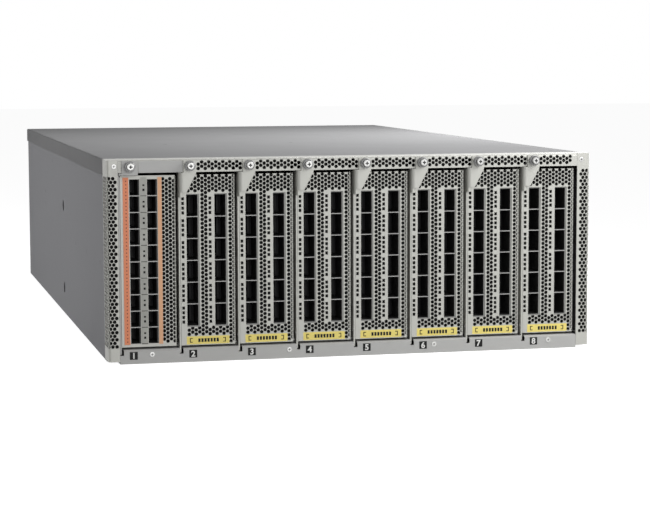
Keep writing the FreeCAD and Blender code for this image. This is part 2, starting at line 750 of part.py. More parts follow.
def make_ejector(slot):
    """Bent lever: a flat bar with a toe, and a head folded over the rail that takes the screw."""
    node = "slot_%d_ejector" % slot
    tab = slot in SMALL_PORT_SLOTS
    body = new_body(node + "_body")
    left = at("-lever_sheet / 2")
    rear_edge = at("lever_recess + lever_depth")
    wedge_foot = HEIGHT + " - " + at("lever_wedge_foot")
    head_foot = HEIGHT + " - " + at("lever_tab_foot") if tab else wedge_foot
    head_top = HEIGHT + " - " + at("lever_head_top")
    bar_top = HEIGHT + " - " + at("rail_height + play")
    head_left = at("lever_tab_left") if tab else at("lever_head_left")
    reach = at("lever_tab_reach") if tab else at("lever_reach")
    face = at("-lever_head_front")
    bar = sketch_on(body, node + "_bar", "YZ", left)
    outline(bar, (
        (at("lever_recess"), at("lever_toe")), (at("lever_recess + lever_toe_depth"), at("lever_toe")),
        (at("lever_recess + lever_toe_depth"), at("pivot_rise - lever_depth / 2")),
        (rear_edge, at("pivot_rise")), (rear_edge, wedge_foot),
        (at("lever_recess + lever_toe_depth"), bar_top), (at("lever_recess"), bar_top)))
    pad(body, node + "_bar_pad", bar, "YZ", at("lever_sheet"))
    head = sketch_on(body, node + "_head", "XY", head_foot)
    outline(head, (
        (left, face), (reach, face), (reach, at("-lever_head_front + lever_sheet")),
        (at("lever_sheet / 2"), at("-lever_head_front + lever_sheet")),
        (at("lever_sheet / 2"), at("lever_recess + lever_sheet")), (left, at("lever_recess + lever_sheet"))))
    pad(body, node + "_head_pad", head, "XY", head_top + " - (" + head_foot + ")")
    if not tab:
        round_edges(body, node + "_bend", at("lever_bend"), lambda middle, direction, limits:
                    abs(direction.z) > 0.99 and near(middle.x, limits.XMin) and near(middle.y, limits.YMin))
        round_edges(body, node + "_inner_bend", at("lever_bend - lever_sheet"),
                    lambda middle, direction, limits:
                    abs(direction.z) > 0.99 and near(middle.x, cell("lever_sheet") / 2)
                    and near(middle.y, limits.YMin + cell("lever_sheet")))
    shoulder = sketch_on(body, node + "_shoulder", "XZ", at("-lever_head_front - overrun"))
    rectangle(shoulder, (at("-lever_sheet"), bar_top),
              (head_left + " + " + at("lever_sheet"), at("rail_height")))
    pocket(body, node + "_shoulder_cut", shoulder, "XZ", at("lever_head_front + lever_recess + lever_depth"))
    if not tab:
        low = HEIGHT + " - " + at("lever_wedge_low")
        high = HEIGHT + " - " + at("lever_wedge_high")
        below = wedge_foot + " - " + at("overrun")
        wedge = sketch_on(body, node + "_wedge", "XZ", at("-lever_head_front - overrun"))
        past = at("lever_reach + overrun")
        outline(wedge, (
            (past, high), (at("lever_reach"), high), (at("lever_wedge_step"), low),
            (at("lever_sheet / 2"), low), (at("lever_sheet / 2"), below), (past, below)))
        pocket(body, node + "_wedge_cut", wedge, "XZ", at("overrun + lever_sheet + seam"))
    round_edges(body, node + "_corners", at("lever_sheet"), lambda middle, direction, limits:
                abs(direction.y) > 0.99 and near(middle.x, limits.XMax) and near(middle.z, limits.ZMax))
    ferrule = sketch_on(body, node + "_ferrule", "XZ", at("-lever_head_front - ferrule_length"))
    flat_ring(ferrule, (at("screw_across"), SCREW_RISE), HEAD_FLATS, at("ferrule"))
    pad(body, node + "_ferrule_pad", ferrule, "XZ", at("ferrule_length"))
    screw = sketch_on(body, node + "_screw", "XZ", at("-lever_head_front - ferrule_length - overrun"))
    flat_ring(screw, (at("screw_across"), SCREW_RISE), SHANK_FLATS, at("screw_shank + screw_clearance"))
    pocket(body, node + "_screw_hole", screw, "XZ", at("ferrule_length + lever_sheet + 2 * overrun"))
    pivot = sketch_on(body, node + "_pivot", "YZ", left + " - " + at("overrun"))
    flat_ring(pivot, (at("pivot_set_back"), at("pivot_rise")), HEAD_FLATS,
              at("pivot_pin + pivot_clearance"))
    pocket(body, node + "_pivot_hole", pivot, "YZ", at("lever_sheet + 2 * overrun"))
    front(node, body, bar_line(slot))


def make_captive_screw(slot):
    """Captive screw drawn out by its spring: a head on a shank that ends in the lever."""
    node = "slot_%d_captive_screw" % slot
    head_back = at("-lever_head_front - screw_stand_off")
    tip = at("-lever_head_front + lever_sheet")
    half_head = at("screw_head_length / 2")
    head = flats(node + "_head", "Y",
                 (at("screw_across"), head_back + " - " + at("screw_head_length"), SCREW_RISE),
                 HEAD_FLATS, at("screw_head"), at("screw_head_length"))
    shank = flats(node + "_shank", "Y", (at("screw_across"), head_back + " - " + half_head, SCREW_RISE),
                  SHANK_FLATS, at("screw_shank"), tip + " - (" + head_back + ") + " + half_head)
    front(node, fuse(node + "_solid", [head, shank]), bar_line(slot))


# ---- rear units ----------------------------------------------------------------------------

def supply_left(number):
    """Left face of a power supply."""
    return "-(" + INNER + ") / 2 + (" + SUPPLY_PITCH + ") * %d + " % (number - 1) + at("supply_gap / 2")


def make_supply(number):
    """Power supply case with its inlet, its pull handle and a slot for the latch."""
    node = "supply_%d_case" % number
    body = new_body(node + "_body")
    wide = SUPPLY_PITCH + " - " + at("supply_gap")
    foot = at("wall_sheet + play")
    shell = sketch_on(body, node + "_outline", "XZ", at("-supply_length + play"))
    rectangle(shell, ("0", foot), (wide, at("supply_height")))
    pad(body, node + "_pad", shell, "XZ", at("supply_length - play"))
    inlet = sketch_on(body, node + "_inlet", "XZ", at("-inlet_depth"))
    rectangle(inlet, (at("inlet_left"), foot + " + " + at("supply_height / 2 - inlet_height / 2")),
              (at("inlet_width"), at("inlet_height")))
    pocket(body, node + "_inlet_cut", inlet, "XZ", at("inlet_depth + overrun"))
    grip = sketch_on(body, node + "_grip", "XY", foot + " + " + at("supply_height / 2 - handle_height / 2"))
    near_leg = at("handle_left")
    far_leg = at("handle_left + handle_span + 2 * handle_bar")
    root = at("-overrun")
    under_bar = at("handle_reach - handle_bar")
    outline(grip, (
        (near_leg, root), (near_leg + " + " + at("handle_bar"), root),
        (near_leg + " + " + at("handle_bar"), under_bar), (far_leg + " - " + at("handle_bar"), under_bar),
        (far_leg + " - " + at("handle_bar"), root), (far_leg, root),
        (far_leg, at("handle_reach")), (near_leg, at("handle_reach"))))
    pad(body, node + "_grip_pad", grip, "XY", at("handle_height"))
    round_edges(body, node + "_grip_round", at("handle_bar * 0.9"), lambda middle, direction, limits:
                abs(direction.z) > 0.99 and near(middle.y, limits.YMax))
    slot = sketch_on(body, node + "_latch_slot", "XZ", at("-latch_slot"))
    rectangle(slot, (wide + " - " + at("latch_width + 2 * latch_travel"),
                     foot + " + " + at("supply_height / 2 - latch_height / 2 - play")),
              (at("latch_width + latch_travel + 2 * play"), at("latch_height + 2 * play")))
    pocket(body, node + "_latch_cut", slot, "XZ", at("latch_slot + overrun"))
    rear(node, body, supply_left(number))


def make_supply_latch(number):
    """Thumb latch of a power supply: a plate in the slot with a tab that the thumb presses."""
    node = "supply_%d_latch" % number
    body = new_body(node + "_body")
    wide = SUPPLY_PITCH + " - " + at("supply_gap")
    near_edge = wide + " - " + at("latch_width + latch_travel - play")
    sketch = sketch_on(body, node + "_profile", "XY",
                       at("wall_sheet + play + supply_height / 2 - latch_height / 2"))
    outline(sketch, (
        (near_edge, at("-latch_slot + play")),
        (near_edge + " + " + at("latch_width"), at("-latch_slot + play")),
        (near_edge + " + " + at("latch_width"), at("latch_shoulder")),
        (near_edge + " + " + at("latch_tab"), at("latch_reach")),
        (near_edge, at("latch_reach"))))
    pad(body, node + "_pad", sketch, "XY", at("latch_height"))
    rear(node, body, supply_left(number))


def tray_left(number):
    """Left face of a fan tray."""
    return "-(" + INNER + ") / 2 + (" + TRAY_PITCH + ") * %d + " % (number - 1) + at("supply_gap / 2")


def make_fan_tray(number):
    """Fan tray: a block-shaped housing with a round duct and a cross of struts for the motor."""
    node = "fan_%d_tray" % number
    wide = TRAY_PITCH + " - " + at("supply_gap")
    foot = SHELF_TOP + " + " + at("play")
    middle = foot + " + (" + TRAY_HEIGHT + ") / 2"
    shell = box(node + "_shell", ("0", at("-fan_tray_depth"), foot),
                (wide, at("fan_tray_depth"), TRAY_HEIGHT))
    duct = flats(node + "_duct", "Y", ("(" + wide + ") / 2", at("-fan_tray_depth - overrun"), middle),
                 DUCT_FLATS, at("fan_bore"), at("fan_tray_depth + 2 * overrun"))
    housing = cut(node + "_housing", shell, [duct])
    centre = "(" + wide + ") / 2"
    span = at("2 * fan_bore + 2 * overrun")
    strut = box(node + "_strut", (centre + " - " + at("fan_bore + overrun"), at("-strut_depth"),
                                  middle + " - " + at("strut_width / 2")),
                (span, at("strut_depth"), at("strut_width")))
    post = box(node + "_post", (centre + " - " + at("strut_width / 2"), at("-strut_depth"),
                                middle + " - " + at("fan_bore + overrun")),
               (at("strut_width"), at("strut_depth"), span))
    rear(node, fuse(node + "_solid", [housing, strut, post]), tray_left(number))


def blade_shape():
    """One fan blade: a pitched plate whose tip corners clear the duct, drawn about the Y axis."""
    chord = cell("blade_chord")
    sheet = cell("blade_sheet")
    pitch = math.radians(cell("blade_pitch_angle"))
    corner_rise = chord / 2 * math.sin(pitch) + sheet / 2 * math.cos(pitch)
    reach = math.sqrt((cell("fan_bore") - cell("fan_tip_gap")) ** 2 - corner_rise ** 2)
    plate = Part.makeBox(reach, chord, sheet, FreeCAD.Vector(0, -chord / 2, -sheet / 2))
    plate.rotate(FreeCAD.Vector(), FreeCAD.Vector(1, 0, 0), cell("blade_pitch_angle"))
    return plate


def make_rotor(number):
    """Fan rotor: a round hub with pitched blades, turning on the duct's axis."""
    node = "fan_%d_rotor" % number
    length = cell("fan_hub_length")
    hub = ring_of_flats(HUB_FLATS, cell("fan_hub")).extrude(FreeCAD.Vector(0, length, 0))
    hub.translate(FreeCAD.Vector(0, -length / 2, 0))
    blades = []
    for turn in range(FAN_BLADES):
        blade = blade_shape()
        blade.rotate(FreeCAD.Vector(), FreeCAD.Vector(0, 1, 0), turn * 360 / FAN_BLADES)
        blades.append(blade)
    rotor = doc.addObject("Part::Feature", node + "_solid")
    rotor.Shape = hub.fuse(blades).removeSplitter()
    wide = TRAY_PITCH + " - " + at("supply_gap")
    x = tray_left(number) + " + (" + wide + ") / 2"
    y = "(" + DEPTH + ") / 2 - " + at("strut_depth + play + fan_hub_length / 2")
    z = SHELF_TOP + " + " + at("play") + " + (" + TRAY_HEIGHT + ") / 2"
    keep(node, rotor, x, y, z)


def build():
    """Make every sub-part."""
    fill_sheet()
    make_floor_pan()
    make_side_wall("left_side_wall", -1)
    make_side_wall("right_side_wall", 1)
    make_top_cover()
    make_vent_strip("left_vent_strip", -1, "left_strip_width")
    make_vent_strip("right_vent_strip", 1, "right_strip_width")
    make_top_rail()
    make_sill()
    make_label_plate()
    make_card_shelf()
    make_midplane()
    make_rear_frame()
    make_frame_screws()
    for slot in range(1, SLOTS + 1):
        make_faceplate(slot)
        make_port_board(slot)
        make_ejector(slot)
        make_captive_screw(slot)
    for number in range(1, SUPPLIES + 1):
        make_supply(number)
        make_supply_latch(number)
    for number in range(1, FAN_TRAYS + 1):
        make_fan_tray(number)
        make_rotor(number)
    doc.recompute()


def check():
    """Stop if any object failed or any sub-part has no valid shape."""
    failed = [o.Name for o in doc.Objects if "Invalid" in o.State or "Error" in o.State]
    if failed:
        raise RuntimeError("failed objects: " + ", ".join(failed))
    for node, part in parts.items():
        if part.Shape.isNull() or not part.Shape.isValid():
            raise RuntimeError("no valid shape: " + node)


def write():
    """Write one STEP file for each sub-part."""
    os.makedirs("parts", exist_ok=True)
    for node, part in parts.items():
        part.Shape.exportStep(os.path.join("parts", node + ".step"))
        print(node, len(part.Shape.Solids), "solids", round(part.Shape.Volume), "mm3")


build()
check()
write()
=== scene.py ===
import json
import math

import bpy
import numpy as np
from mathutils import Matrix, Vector
from mathutils.geometry import delaunay_2d_cdt


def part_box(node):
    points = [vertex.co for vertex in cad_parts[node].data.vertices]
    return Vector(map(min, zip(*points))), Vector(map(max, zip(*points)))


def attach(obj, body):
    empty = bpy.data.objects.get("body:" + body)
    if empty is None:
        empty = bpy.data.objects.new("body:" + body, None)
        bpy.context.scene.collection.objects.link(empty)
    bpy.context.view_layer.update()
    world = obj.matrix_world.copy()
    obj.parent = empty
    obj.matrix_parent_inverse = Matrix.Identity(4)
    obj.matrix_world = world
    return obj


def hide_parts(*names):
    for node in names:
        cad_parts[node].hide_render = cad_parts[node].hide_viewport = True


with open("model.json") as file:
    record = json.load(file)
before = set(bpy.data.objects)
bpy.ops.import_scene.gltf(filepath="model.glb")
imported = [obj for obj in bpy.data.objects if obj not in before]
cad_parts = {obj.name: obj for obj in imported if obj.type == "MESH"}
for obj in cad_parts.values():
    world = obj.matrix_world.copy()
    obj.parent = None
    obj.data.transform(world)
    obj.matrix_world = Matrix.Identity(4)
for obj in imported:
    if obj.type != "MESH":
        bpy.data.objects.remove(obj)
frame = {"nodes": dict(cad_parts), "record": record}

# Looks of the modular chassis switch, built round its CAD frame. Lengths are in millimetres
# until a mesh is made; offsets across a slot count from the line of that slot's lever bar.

MM = 0.001
SLOTS = range(1, 9)
WIDE_SLOTS = range(2, 9)

# The frame's sheet: thickness, outer radius of a bend, depth of a return, gap to the next part.
SHEET = 1.2
BEND = 2.5
WRAP = 25.0
SEAM = 0.15

# A faceplate's sheet: width, how far its bend reaches past that, outer radius, depth of return
# and how far it stands behind the frame.
FACE_WIDTH = 47.7
FACE_REACH = 0.5
FACE_BEND = 1.6
FACE_RETURN = 12.0
FACE_DEPTH = 3.0

# Vents: width of the common round hole and the corners of its ring.
HOLE = 3.2
HOLE_SIDES = 10

# Levers and the pins they turn on: thickness of the bar; depth, height and radius of the pin.
LEVER_SHEET = 1.3
PIVOT_DEPTH = 7.1
PIVOT_RISE = 22.0
PIVOT_RADIUS = 2


def low(node):
    """Lowest corner of a CAD node in millimetres."""
    return np.array(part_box(node)[0]) / MM


def high(node):
    """Highest corner of a CAD node in millimetres."""
    return np.array(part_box(node)[1]) / MM


FRONT = low("bottom_sill")[1]
REAR = high("fan_1_tray")[1]
TOP = high("top_cover")[2]
FACE = FRONT + FACE_DEPTH
FACE_FOOT = low("slot_2_faceplate")[2]
FACE_TOP = high("slot_2_faceplate")[2]
RAIL_FOOT = low("top_vent_rail")[2]
BAR = {slot: low("slot_%d_ejector" % slot)[0] + LEVER_SHEET / 2 for slot in SLOTS}


# ---- finishes --------------------------------------------------------------------------------

ROUGH_DRIFT = 0.06
BUMP_HEIGHT = 0.3
SPOT_RADIUS = 2.3
SPOT_SHADE = (0.55, 0.55, 0.55, 1)


def node_tree(material):
    """The material's nodes, emptied, and its links."""
    material.use_nodes = True
    nodes = material.node_tree.nodes
    nodes.clear()
    return nodes, material.node_tree.links


def finish(name, colour, rough, scale, metal=0.0, drift=0.05, bump=0.0, gloss=0.5, spots=()):
    """Surface whose colour, roughness and height drift with a noise on the piece's own place.
    Spots are places on the cover, across and deep, where a flush round fastener darkens it."""
    material = bpy.data.materials.new(name)
    nodes, links = node_tree(material)
    place = nodes.new("ShaderNodeTexCoord")
    noise = nodes.new("ShaderNodeTexNoise")
    noise.inputs["Scale"].default_value = scale
    noise.inputs["Detail"].default_value = 5
    shade = nodes.new("ShaderNodeMix")
    shade.data_type = "RGBA"
    shade.inputs["A"].default_value = [c * (1 - drift) for c in colour] + [1]
    shade.inputs["B"].default_value = [min(1, c * (1 + drift)) for c in colour] + [1]
    spread = nodes.new("ShaderNodeMapRange")
    spread.inputs["To Min"].default_value = rough - ROUGH_DRIFT
    spread.inputs["To Max"].default_value = rough + ROUGH_DRIFT
    surface = nodes.new("ShaderNodeBsdfPrincipled")
    surface.inputs["Metallic"].default_value = metal
    surface.inputs["Specular IOR Level"].default_value = gloss
    out = nodes.new("ShaderNodeOutputMaterial")
    links.new(place.outputs["Object"], noise.inputs["Vector"])
    links.new(noise.outputs["Fac"], shade.inputs["Factor"])
    links.new(noise.outputs["Fac"], spread.inputs["Value"])
    colour_out = shade.outputs["Result"]
    for across, deep in spots:
        gap = nodes.new("ShaderNodeVectorMath")
        gap.operation = "DISTANCE"
        gap.inputs[1].default_value = (across * MM, (FRONT + deep) * MM, TOP * MM)
        inside = nodes.new("ShaderNodeMath")
        inside.operation = "LESS_THAN"
        inside.inputs[1].default_value = SPOT_RADIUS * MM
        darker = nodes.new("ShaderNodeMix")
        darker.data_type = "RGBA"
        darker.blend_type = "MULTIPLY"
        darker.inputs["B"].default_value = SPOT_SHADE
        links.new(place.outputs["Object"], gap.inputs[0])
        links.new(gap.outputs["Value"], inside.inputs[0])
        links.new(inside.outputs["Value"], darker.inputs["Factor"])
        links.new(colour_out, darker.inputs["A"])
        colour_out = darker.outputs["Result"]
    links.new(colour_out, surface.inputs["Base Color"])
    links.new(spread.outputs["Result"], surface.inputs["Roughness"])
    if bump:
        raised = nodes.new("ShaderNodeBump")
        raised.inputs["Strength"].default_value = bump
        raised.inputs["Distance"].default_value = BUMP_HEIGHT * MM
        links.new(noise.outputs["Fac"], raised.inputs["Height"])
        links.new(raised.outputs["Normal"], surface.inputs["Normal"])
    links.new(surface.outputs["BSDF"], out.inputs["Surface"])
    return material


PLATED = finish("plated sheet", (0.47, 0.47, 0.437), 0.46, metal=0.2, scale=60, drift=0.04)
SILL_GREY = finish("sill grey", (0.47, 0.47, 0.46), 0.5, scale=55, drift=0.04)
# The side walls are of the frame's steel but get a darker grey: painted shade of the chassis sides.
SHADED_SIDE_GREY = finish("side grey with painted shade", (0.30, 0.30, 0.315), 0.62, scale=25, drift=0.06, gloss=0.12)
COVER_GREY = finish("cover grey", (0.42, 0.42, 0.425), 0.7, scale=18, drift=0.05, gloss=0.0,
                    spots=((-123, 292), (8, 299), (202, 57)))
ZINC = finish("zinc steel", (0.50, 0.50, 0.49), 0.42, metal=0.6, scale=45, drift=0.10)
# The cage is near black: partly the ports' own dark insides, partly painted shade deep in the
# ports.
DARK_AND_SHADED_CAGE = finish("cage steel with painted shade", (0.025, 0.025, 0.025), 0.5, metal=0.3, scale=90, drift=0.10)
BOARD = finish("circuit board", (0.03, 0.11, 0.06), 0.5, scale=220, drift=0.25, bump=0.2)
BRIGHT = finish("bright screw", (0.48, 0.48, 0.47), 0.38, metal=0.75, scale=300, drift=0.05)
SPRING_STEEL = finish("spring steel", (0.16, 0.16, 0.16), 0.35, metal=0.8, scale=200, drift=0.1)
# Near black for the floors and crosses of screw recesses: painted shade in the recesses.
RECESS_SHADE = finish("recess shade", (0.04, 0.04, 0.04), 0.45, metal=0.4, scale=200, drift=0.1)
BLACK = finish("black plastic", (0.010, 0.010, 0.011), 0.55, scale=160, drift=0.2, bump=0.1,
               gloss=0.15)
MAROON = finish("latch red", (0.35, 0.03, 0.05), 0.42, scale=150, drift=0.12, bump=0.1)
ORANGE = finish("orange strip", (0.76, 0.25, 0.12), 0.5, scale=120, drift=0.06)
RUST = finish("rust print", (0.20, 0.05, 0.03), 0.6, scale=200, drift=0.2)
PEACH = finish("pale orange strip", (0.76, 0.42, 0.24), 0.5, scale=120, drift=0.06)
CAGE_RIM = finish("cage rim", (0.22, 0.22, 0.21), 0.5, metal=0.3, scale=120, drift=0.12)
# Near-black sheets behind vents: painted shade of the inside seen through them.
VENT_SHADE = finish("dark vent shade", (0.012, 0.012, 0.012), 0.9, scale=500, drift=0.3, bump=0.3, gloss=0.1)
MIDDLE_GREY = finish("middle strip grey", (0.38, 0.38, 0.35), 0.5, scale=70, drift=0.35)
SHELF_EDGE = finish("shelf edge", (0.36, 0.36, 0.35), 0.5, metal=0.2, scale=150, drift=0.06)
YELLOW = finish("yellow label", (0.86, 0.72, 0.20), 0.6, scale=120, drift=0.05)
INK = finish("dark print", (0.012, 0.012, 0.012), 0.7, scale=200, drift=0.15, gloss=0.2)
PALE = finish("pale print", (0.80, 0.80, 0.78), 0.6, scale=200, drift=0.05)

SLOT_FINISH = {
    "frame_paint": PLATED, "sill_paint": SILL_GREY, "cover_paint": COVER_GREY,
    "chassis_steel": SHADED_SIDE_GREY, "zinc_steel": ZINC, "cage_steel": DARK_AND_SHADED_CAGE, "circuit_board": BOARD,
    "bright_screw": BRIGHT, "latch_plastic": MAROON, "fan_plastic": BLACK,
}


# ---- shapes ----------------------------------------------------------------------------------

# A direction that no wire of the part runs along, to turn a wire's rings by.
WIRE_ASIDE = (0.31, 0.17, 0.93)
BOX_CORNERS = np.array(list(np.ndindex(2, 2, 2)))
BOX_FACES = ((0, 1, 3, 2), (4, 6, 7, 5), (0, 4, 5, 1), (2, 3, 7, 6), (0, 2, 6, 4), (1, 5, 7, 3))


def turns(sides):
    """Angles of equal steps once round."""
    return np.arange(sides) * 2 * math.pi / sides


class Shape:
    """Points in millimetres and faces of one piece, gathered part by part."""

    def __init__(self):
        self.points = []
        self.faces = []
        self.count = 0

    def add(self, points, faces):
        """Takes in more points, with faces of one length that number them from 0."""
        points = np.asarray(points, dtype=float).reshape(-1, 3)
        self.faces += (np.asarray(faces) + self.count).tolist()
        self.points.append(points)
        self.count += len(points)

    def box(self, low_corner, high_corner):
        """A closed box between two corners."""
        self.add(np.where(BOX_CORNERS, high_corner, low_corner), BOX_FACES)

    def grid(self, points, wrap):
        """Faces over rows of points; wrap closes each row on itself."""
        rows, columns = points.shape[:2]
        number = np.arange(rows * columns).reshape(rows, columns)
        if wrap:
            number = np.concatenate([number, number[:, :1]], axis=1)
        corners = (number[:-1, :-1], number[:-1, 1:], number[1:, 1:], number[1:, :-1])
        self.add(points, np.stack(corners, axis=-1).reshape(-1, 4))

    def turned(self, profile, centre, sides, across=False):
        """A round part about a line along Y, or along X if it lies across: each profile pair is a
        radius and a place along the line."""
        angles = turns(sides)
        radius, along = np.array(profile, dtype=float).T[:, :, None]
        offsets = [radius * np.cos(angles), radius * np.sin(angles)]
        offsets.insert(0 if across else 1, along + 0 * angles)
        self.grid(np.stack([c + offset for c, offset in zip(centre, offsets)], axis=-1), True)

    def tube(self, path, radius, sides):
        """A round wire along a path: rings square to the path's own direction."""
        along = np.gradient(path, axis=0)
        along /= np.linalg.norm(along, axis=1)[:, None]
        side = np.cross(along, WIRE_ASIDE)
        side /= np.linalg.norm(side, axis=1)[:, None]
        up = np.cross(side, along)
        angles = turns(sides)
        rings = (path[:, None, :] + radius * np.cos(angles)[None, :, None] * side[:, None, :]
                 + radius * np.sin(angles)[None, :, None] * up[:, None, :])
        self.grid(rings, True)


def piece(name, shape, body, material, smooth=False):
    """Makes the piece, hangs it on its body and gives it its finish."""
    mesh = bpy.data.meshes.new(name)
    mesh.from_pydata((np.concatenate(shape.points) * MM).tolist(), [], shape.faces)
    mesh.polygons.foreach_set("use_smooth", [smooth] * len(mesh.polygons))
    mesh.materials.append(material)
    made = bpy.data.objects.new(name, mesh)
    bpy.context.collection.objects.link(made)
    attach(made, body)
    return made


def ring(centre, radius):
    """Corners of a small round hole: equal steps round its centre, with a circle's area."""
    angles = (np.arange(HOLE_SIDES) + 0.5) * 2 * math.pi / HOLE_SIDES
    wide = radius * math.sqrt(2 * math.pi / (HOLE_SIDES * math.sin(2 * math.pi / HOLE_SIDES)))
    return [(centre[0] + wide * math.cos(a), centre[1] + wide * math.sin(a)) for a in angles]


# Triangles measured against every hole at once, to bound the memory.
AT_ONCE = 4000


def net_of(points, edges, near):
    """A Delaunay net of triangles held to the edges, where points nearer than near are one: its
    points, its faces and the middle of each face."""
    net = delaunay_2d_cdt([Vector(p) for p in points], edges, [], 1, near)
    flat = np.array([tuple(v) for v in net[0]])
    faces = np.array([tuple(f) for f in net[2]])
    return flat, faces, flat[faces].mean(axis=1)


def pierced(outline, rounds, windows, folds=(), bores=()):
    """A flat sheet less its holes: a net held to the outline, the hole rings and any fold lines,
    from which the triangles inside a hole are dropped. Rounds are (x, z) centres of the common
    hole; bores are (x, z, radius); windows are (low x, low z, high x, high z)."""
    points, edges = [], []

    def loop(corners):
        base = len(points)
        points.extend(corners)
        edges.extend((base + i, base + (i + 1) % len(corners)) for i in range(len(corners)))

    loop(outline)
    for centre in rounds:
        loop(ring(centre, HOLE / 2))
    for x, z, radius in bores:
        loop(ring((x, z), radius))
    for x0, z0, x1, z1 in windows:
        loop([(x0, z0), (x1, z0), (x1, z1), (x0, z1)])
    for start, end in folds:
        base = len(points)
        points.extend((start, end))
        edges.append((base, base + 1))
    flat, faces, middle = net_of(points, edges, 1e-5)
    keep = np.ones(len(faces), dtype=bool)
    # A triangle of a ring keeps its middle within the flats of that ring.
    within = math.cos(math.pi / HOLE_SIDES)
    if rounds:
        for start in range(0, len(faces), AT_ONCE):
            part = slice(start, start + AT_ONCE)
            gap = np.linalg.norm(middle[part, None, :] - np.array(rounds)[None, :, :], axis=2)
            keep[part] &= gap.min(axis=1) > HOLE / 2 * within
    for x, z, radius in bores:
        keep &= np.hypot(middle[:, 0] - x, middle[:, 1] - z) > radius * within
    for x0, z0, x1, z1 in windows:
        across = (middle[:, 0] > x0) & (middle[:, 0] < x1)
        keep &= ~(across & (middle[:, 1] > z0) & (middle[:, 1] < z1))
    return flat, faces[keep]


def folded(run, straight, radius):
    """A run along a sheet that is flat at first, then bends through a quarter turn and goes on
    square to itself. Returns how far along and how far back it has come."""
    turn = np.clip((run - straight) / radius, 0, math.pi / 2)
    past = np.maximum(run - straight - radius * math.pi / 2, 0)
    return np.minimum(run, straight) + radius * np.sin(turn), radius * (1 - np.cos(turn)) + past


FOLD_STEPS = 5


def fold_lines(straight, radius, start, end, across):
    """Lines along a bend where the sheet's net is split, so that the bend comes out round."""
    lines = []
    for step in range(FOLD_STEPS + 1):
        run = straight + radius * math.pi / 2 * step / FOLD_STEPS
        lines.append(((run, start), (run, end)) if across else ((start, run), (end, run)))
    return lines


def thicken(made, sheet=SHEET):
    """Gives a sheet its thickness, away from the side that shows."""
    solid = made.modifiers.new("thickness", "SOLIDIFY")
    solid.thickness = sheet * MM
    solid.offset = -1
    return made


def rows(start, step, low_end, high_end):
    """Heights from a start at a step, within two ends."""
    first = math.ceil((low_end - start) / step)
    last = math.floor((high_end - start) / step)
    return [start + step * i for i in range(first, last + 1)]


def places(first, step, end):
    """Places from the first on, a step apart, as long as they are short of the end."""
    found = []
    while first < end:
        found.append(first)
        first += step
    return found


# ---- port modules ----------------------------------------------------------------------------

# Vents of a wide-port module: a staggered field, of which only some parts are open.
VENT_COLUMNS = 14
FIRST_COLUMN = 7.9
COLUMN_STEP = 3.08
EVEN_ROW = 24.0
ROW_STEP = 3.582
LOWEST_ROW = 16.0
BETWEEN_PORTS = (4, 5)
BESIDE_PORTS = (12, 13)
LOW_FIELD = (22.5, 30.0)
HIGH_FIELD = 148.6

# Vents of the small-port module: four staggered columns.
SMALL_COLUMNS = 4
SMALL_FIRST_COLUMN = 38.1
SMALL_COLUMN_STEP = 3.1
SMALL_ROW_STEP = 3.578
SMALL_STARTS = (20.6, 18.8)
SMALL_LOWEST_ROW = 17.5

# Port columns: foot of the lowest port, pitch up, ports in a column, width, left edges.
PORT = {"floor": 31.5, "pitch": 19.08, "count": 6, "width": 10.0, "left": 6.3, "right": 31.0}
SMALL = {"floor": 17.3, "pitch": 14.28, "count": 10, "width": 8.8, "left": 7.9, "right": 23.3}
SMALL_SHIFT = 1.0

# How far a wide port column's window reaches past its ports, and the light windows beside it.
WINDOW_BELOW = 1.2
WINDOW_ABOVE = 0.8
WINDOW_RIGHT = 1.3
LIGHT_STEP = 4.1
LIGHT_HALF = 1.4
LIGHT_COLUMNS = ((1.6, 4.3), (25.8, 28.3))

# How much lower the carrier's wall is behind the frame's return.
CARRIER_DROP = 3.3


def port_top(ports):
    """Height of the top of a column of ports."""
    return ports["floor"] + ports["pitch"] * ports["count"]


def wide_holes():
    """Vents of a wide-port module: a staggered field above and below the ports, two columns
    between them, and two at the right that run the whole height."""
    holes = []
    for column in range(VENT_COLUMNS):
        x = FIRST_COLUMN + COLUMN_STEP * column
        start = EVEN_ROW + (ROW_STEP / 2 if column % 2 else 0)
        for z in rows(start, ROW_STEP, LOWEST_ROW, FACE_TOP - 1.0):
            beside = column in BESIDE_PORTS
            between = column in BETWEEN_PORTS and z > LOW_FIELD[0]
            if beside or between or LOW_FIELD[0] < z < LOW_FIELD[1] or z > HIGH_FIELD:
                holes.append((x, z))
    return holes


def wide_windows():
    """Two port windows, and a square light window beside each quarter of a port."""
    top = port_top(PORT)
    wide = PORT["width"] + WINDOW_RIGHT
    windows = [(PORT[side], PORT["floor"] - WINDOW_BELOW, PORT[side] + wide, top + WINDOW_ABOVE)
               for side in ("left", "right")]
    for port in range(PORT["count"]):
        centre = PORT["floor"] + PORT["pitch"] * (port + 0.5)
        for light in range(4):
            z = centre + LIGHT_STEP * (light - 1.5)
            windows += [(x0, z - LIGHT_HALF, x1, z + LIGHT_HALF) for x0, x1 in LIGHT_COLUMNS]
    return windows


def small_holes():
    """Vents of the small-port module: four staggered columns at its right."""
    holes = []
    for column in range(SMALL_COLUMNS):
        x = SMALL_FIRST_COLUMN + SMALL_COLUMN_STEP * column
        start = SMALL_STARTS[column % 2]
        holes += [(x, z) for z in rows(start, SMALL_ROW_STEP, SMALL_LOWEST_ROW, FACE_TOP - 1.5)]
    return holes


def small_windows():
    """The two port windows of the small-port module."""
    top = port_top(SMALL)
    return [(SMALL[side] + SMALL_SHIFT, SMALL["floor"],
             SMALL[side] + SMALL_SHIFT + SMALL["width"], top) for side in ("left", "right")]


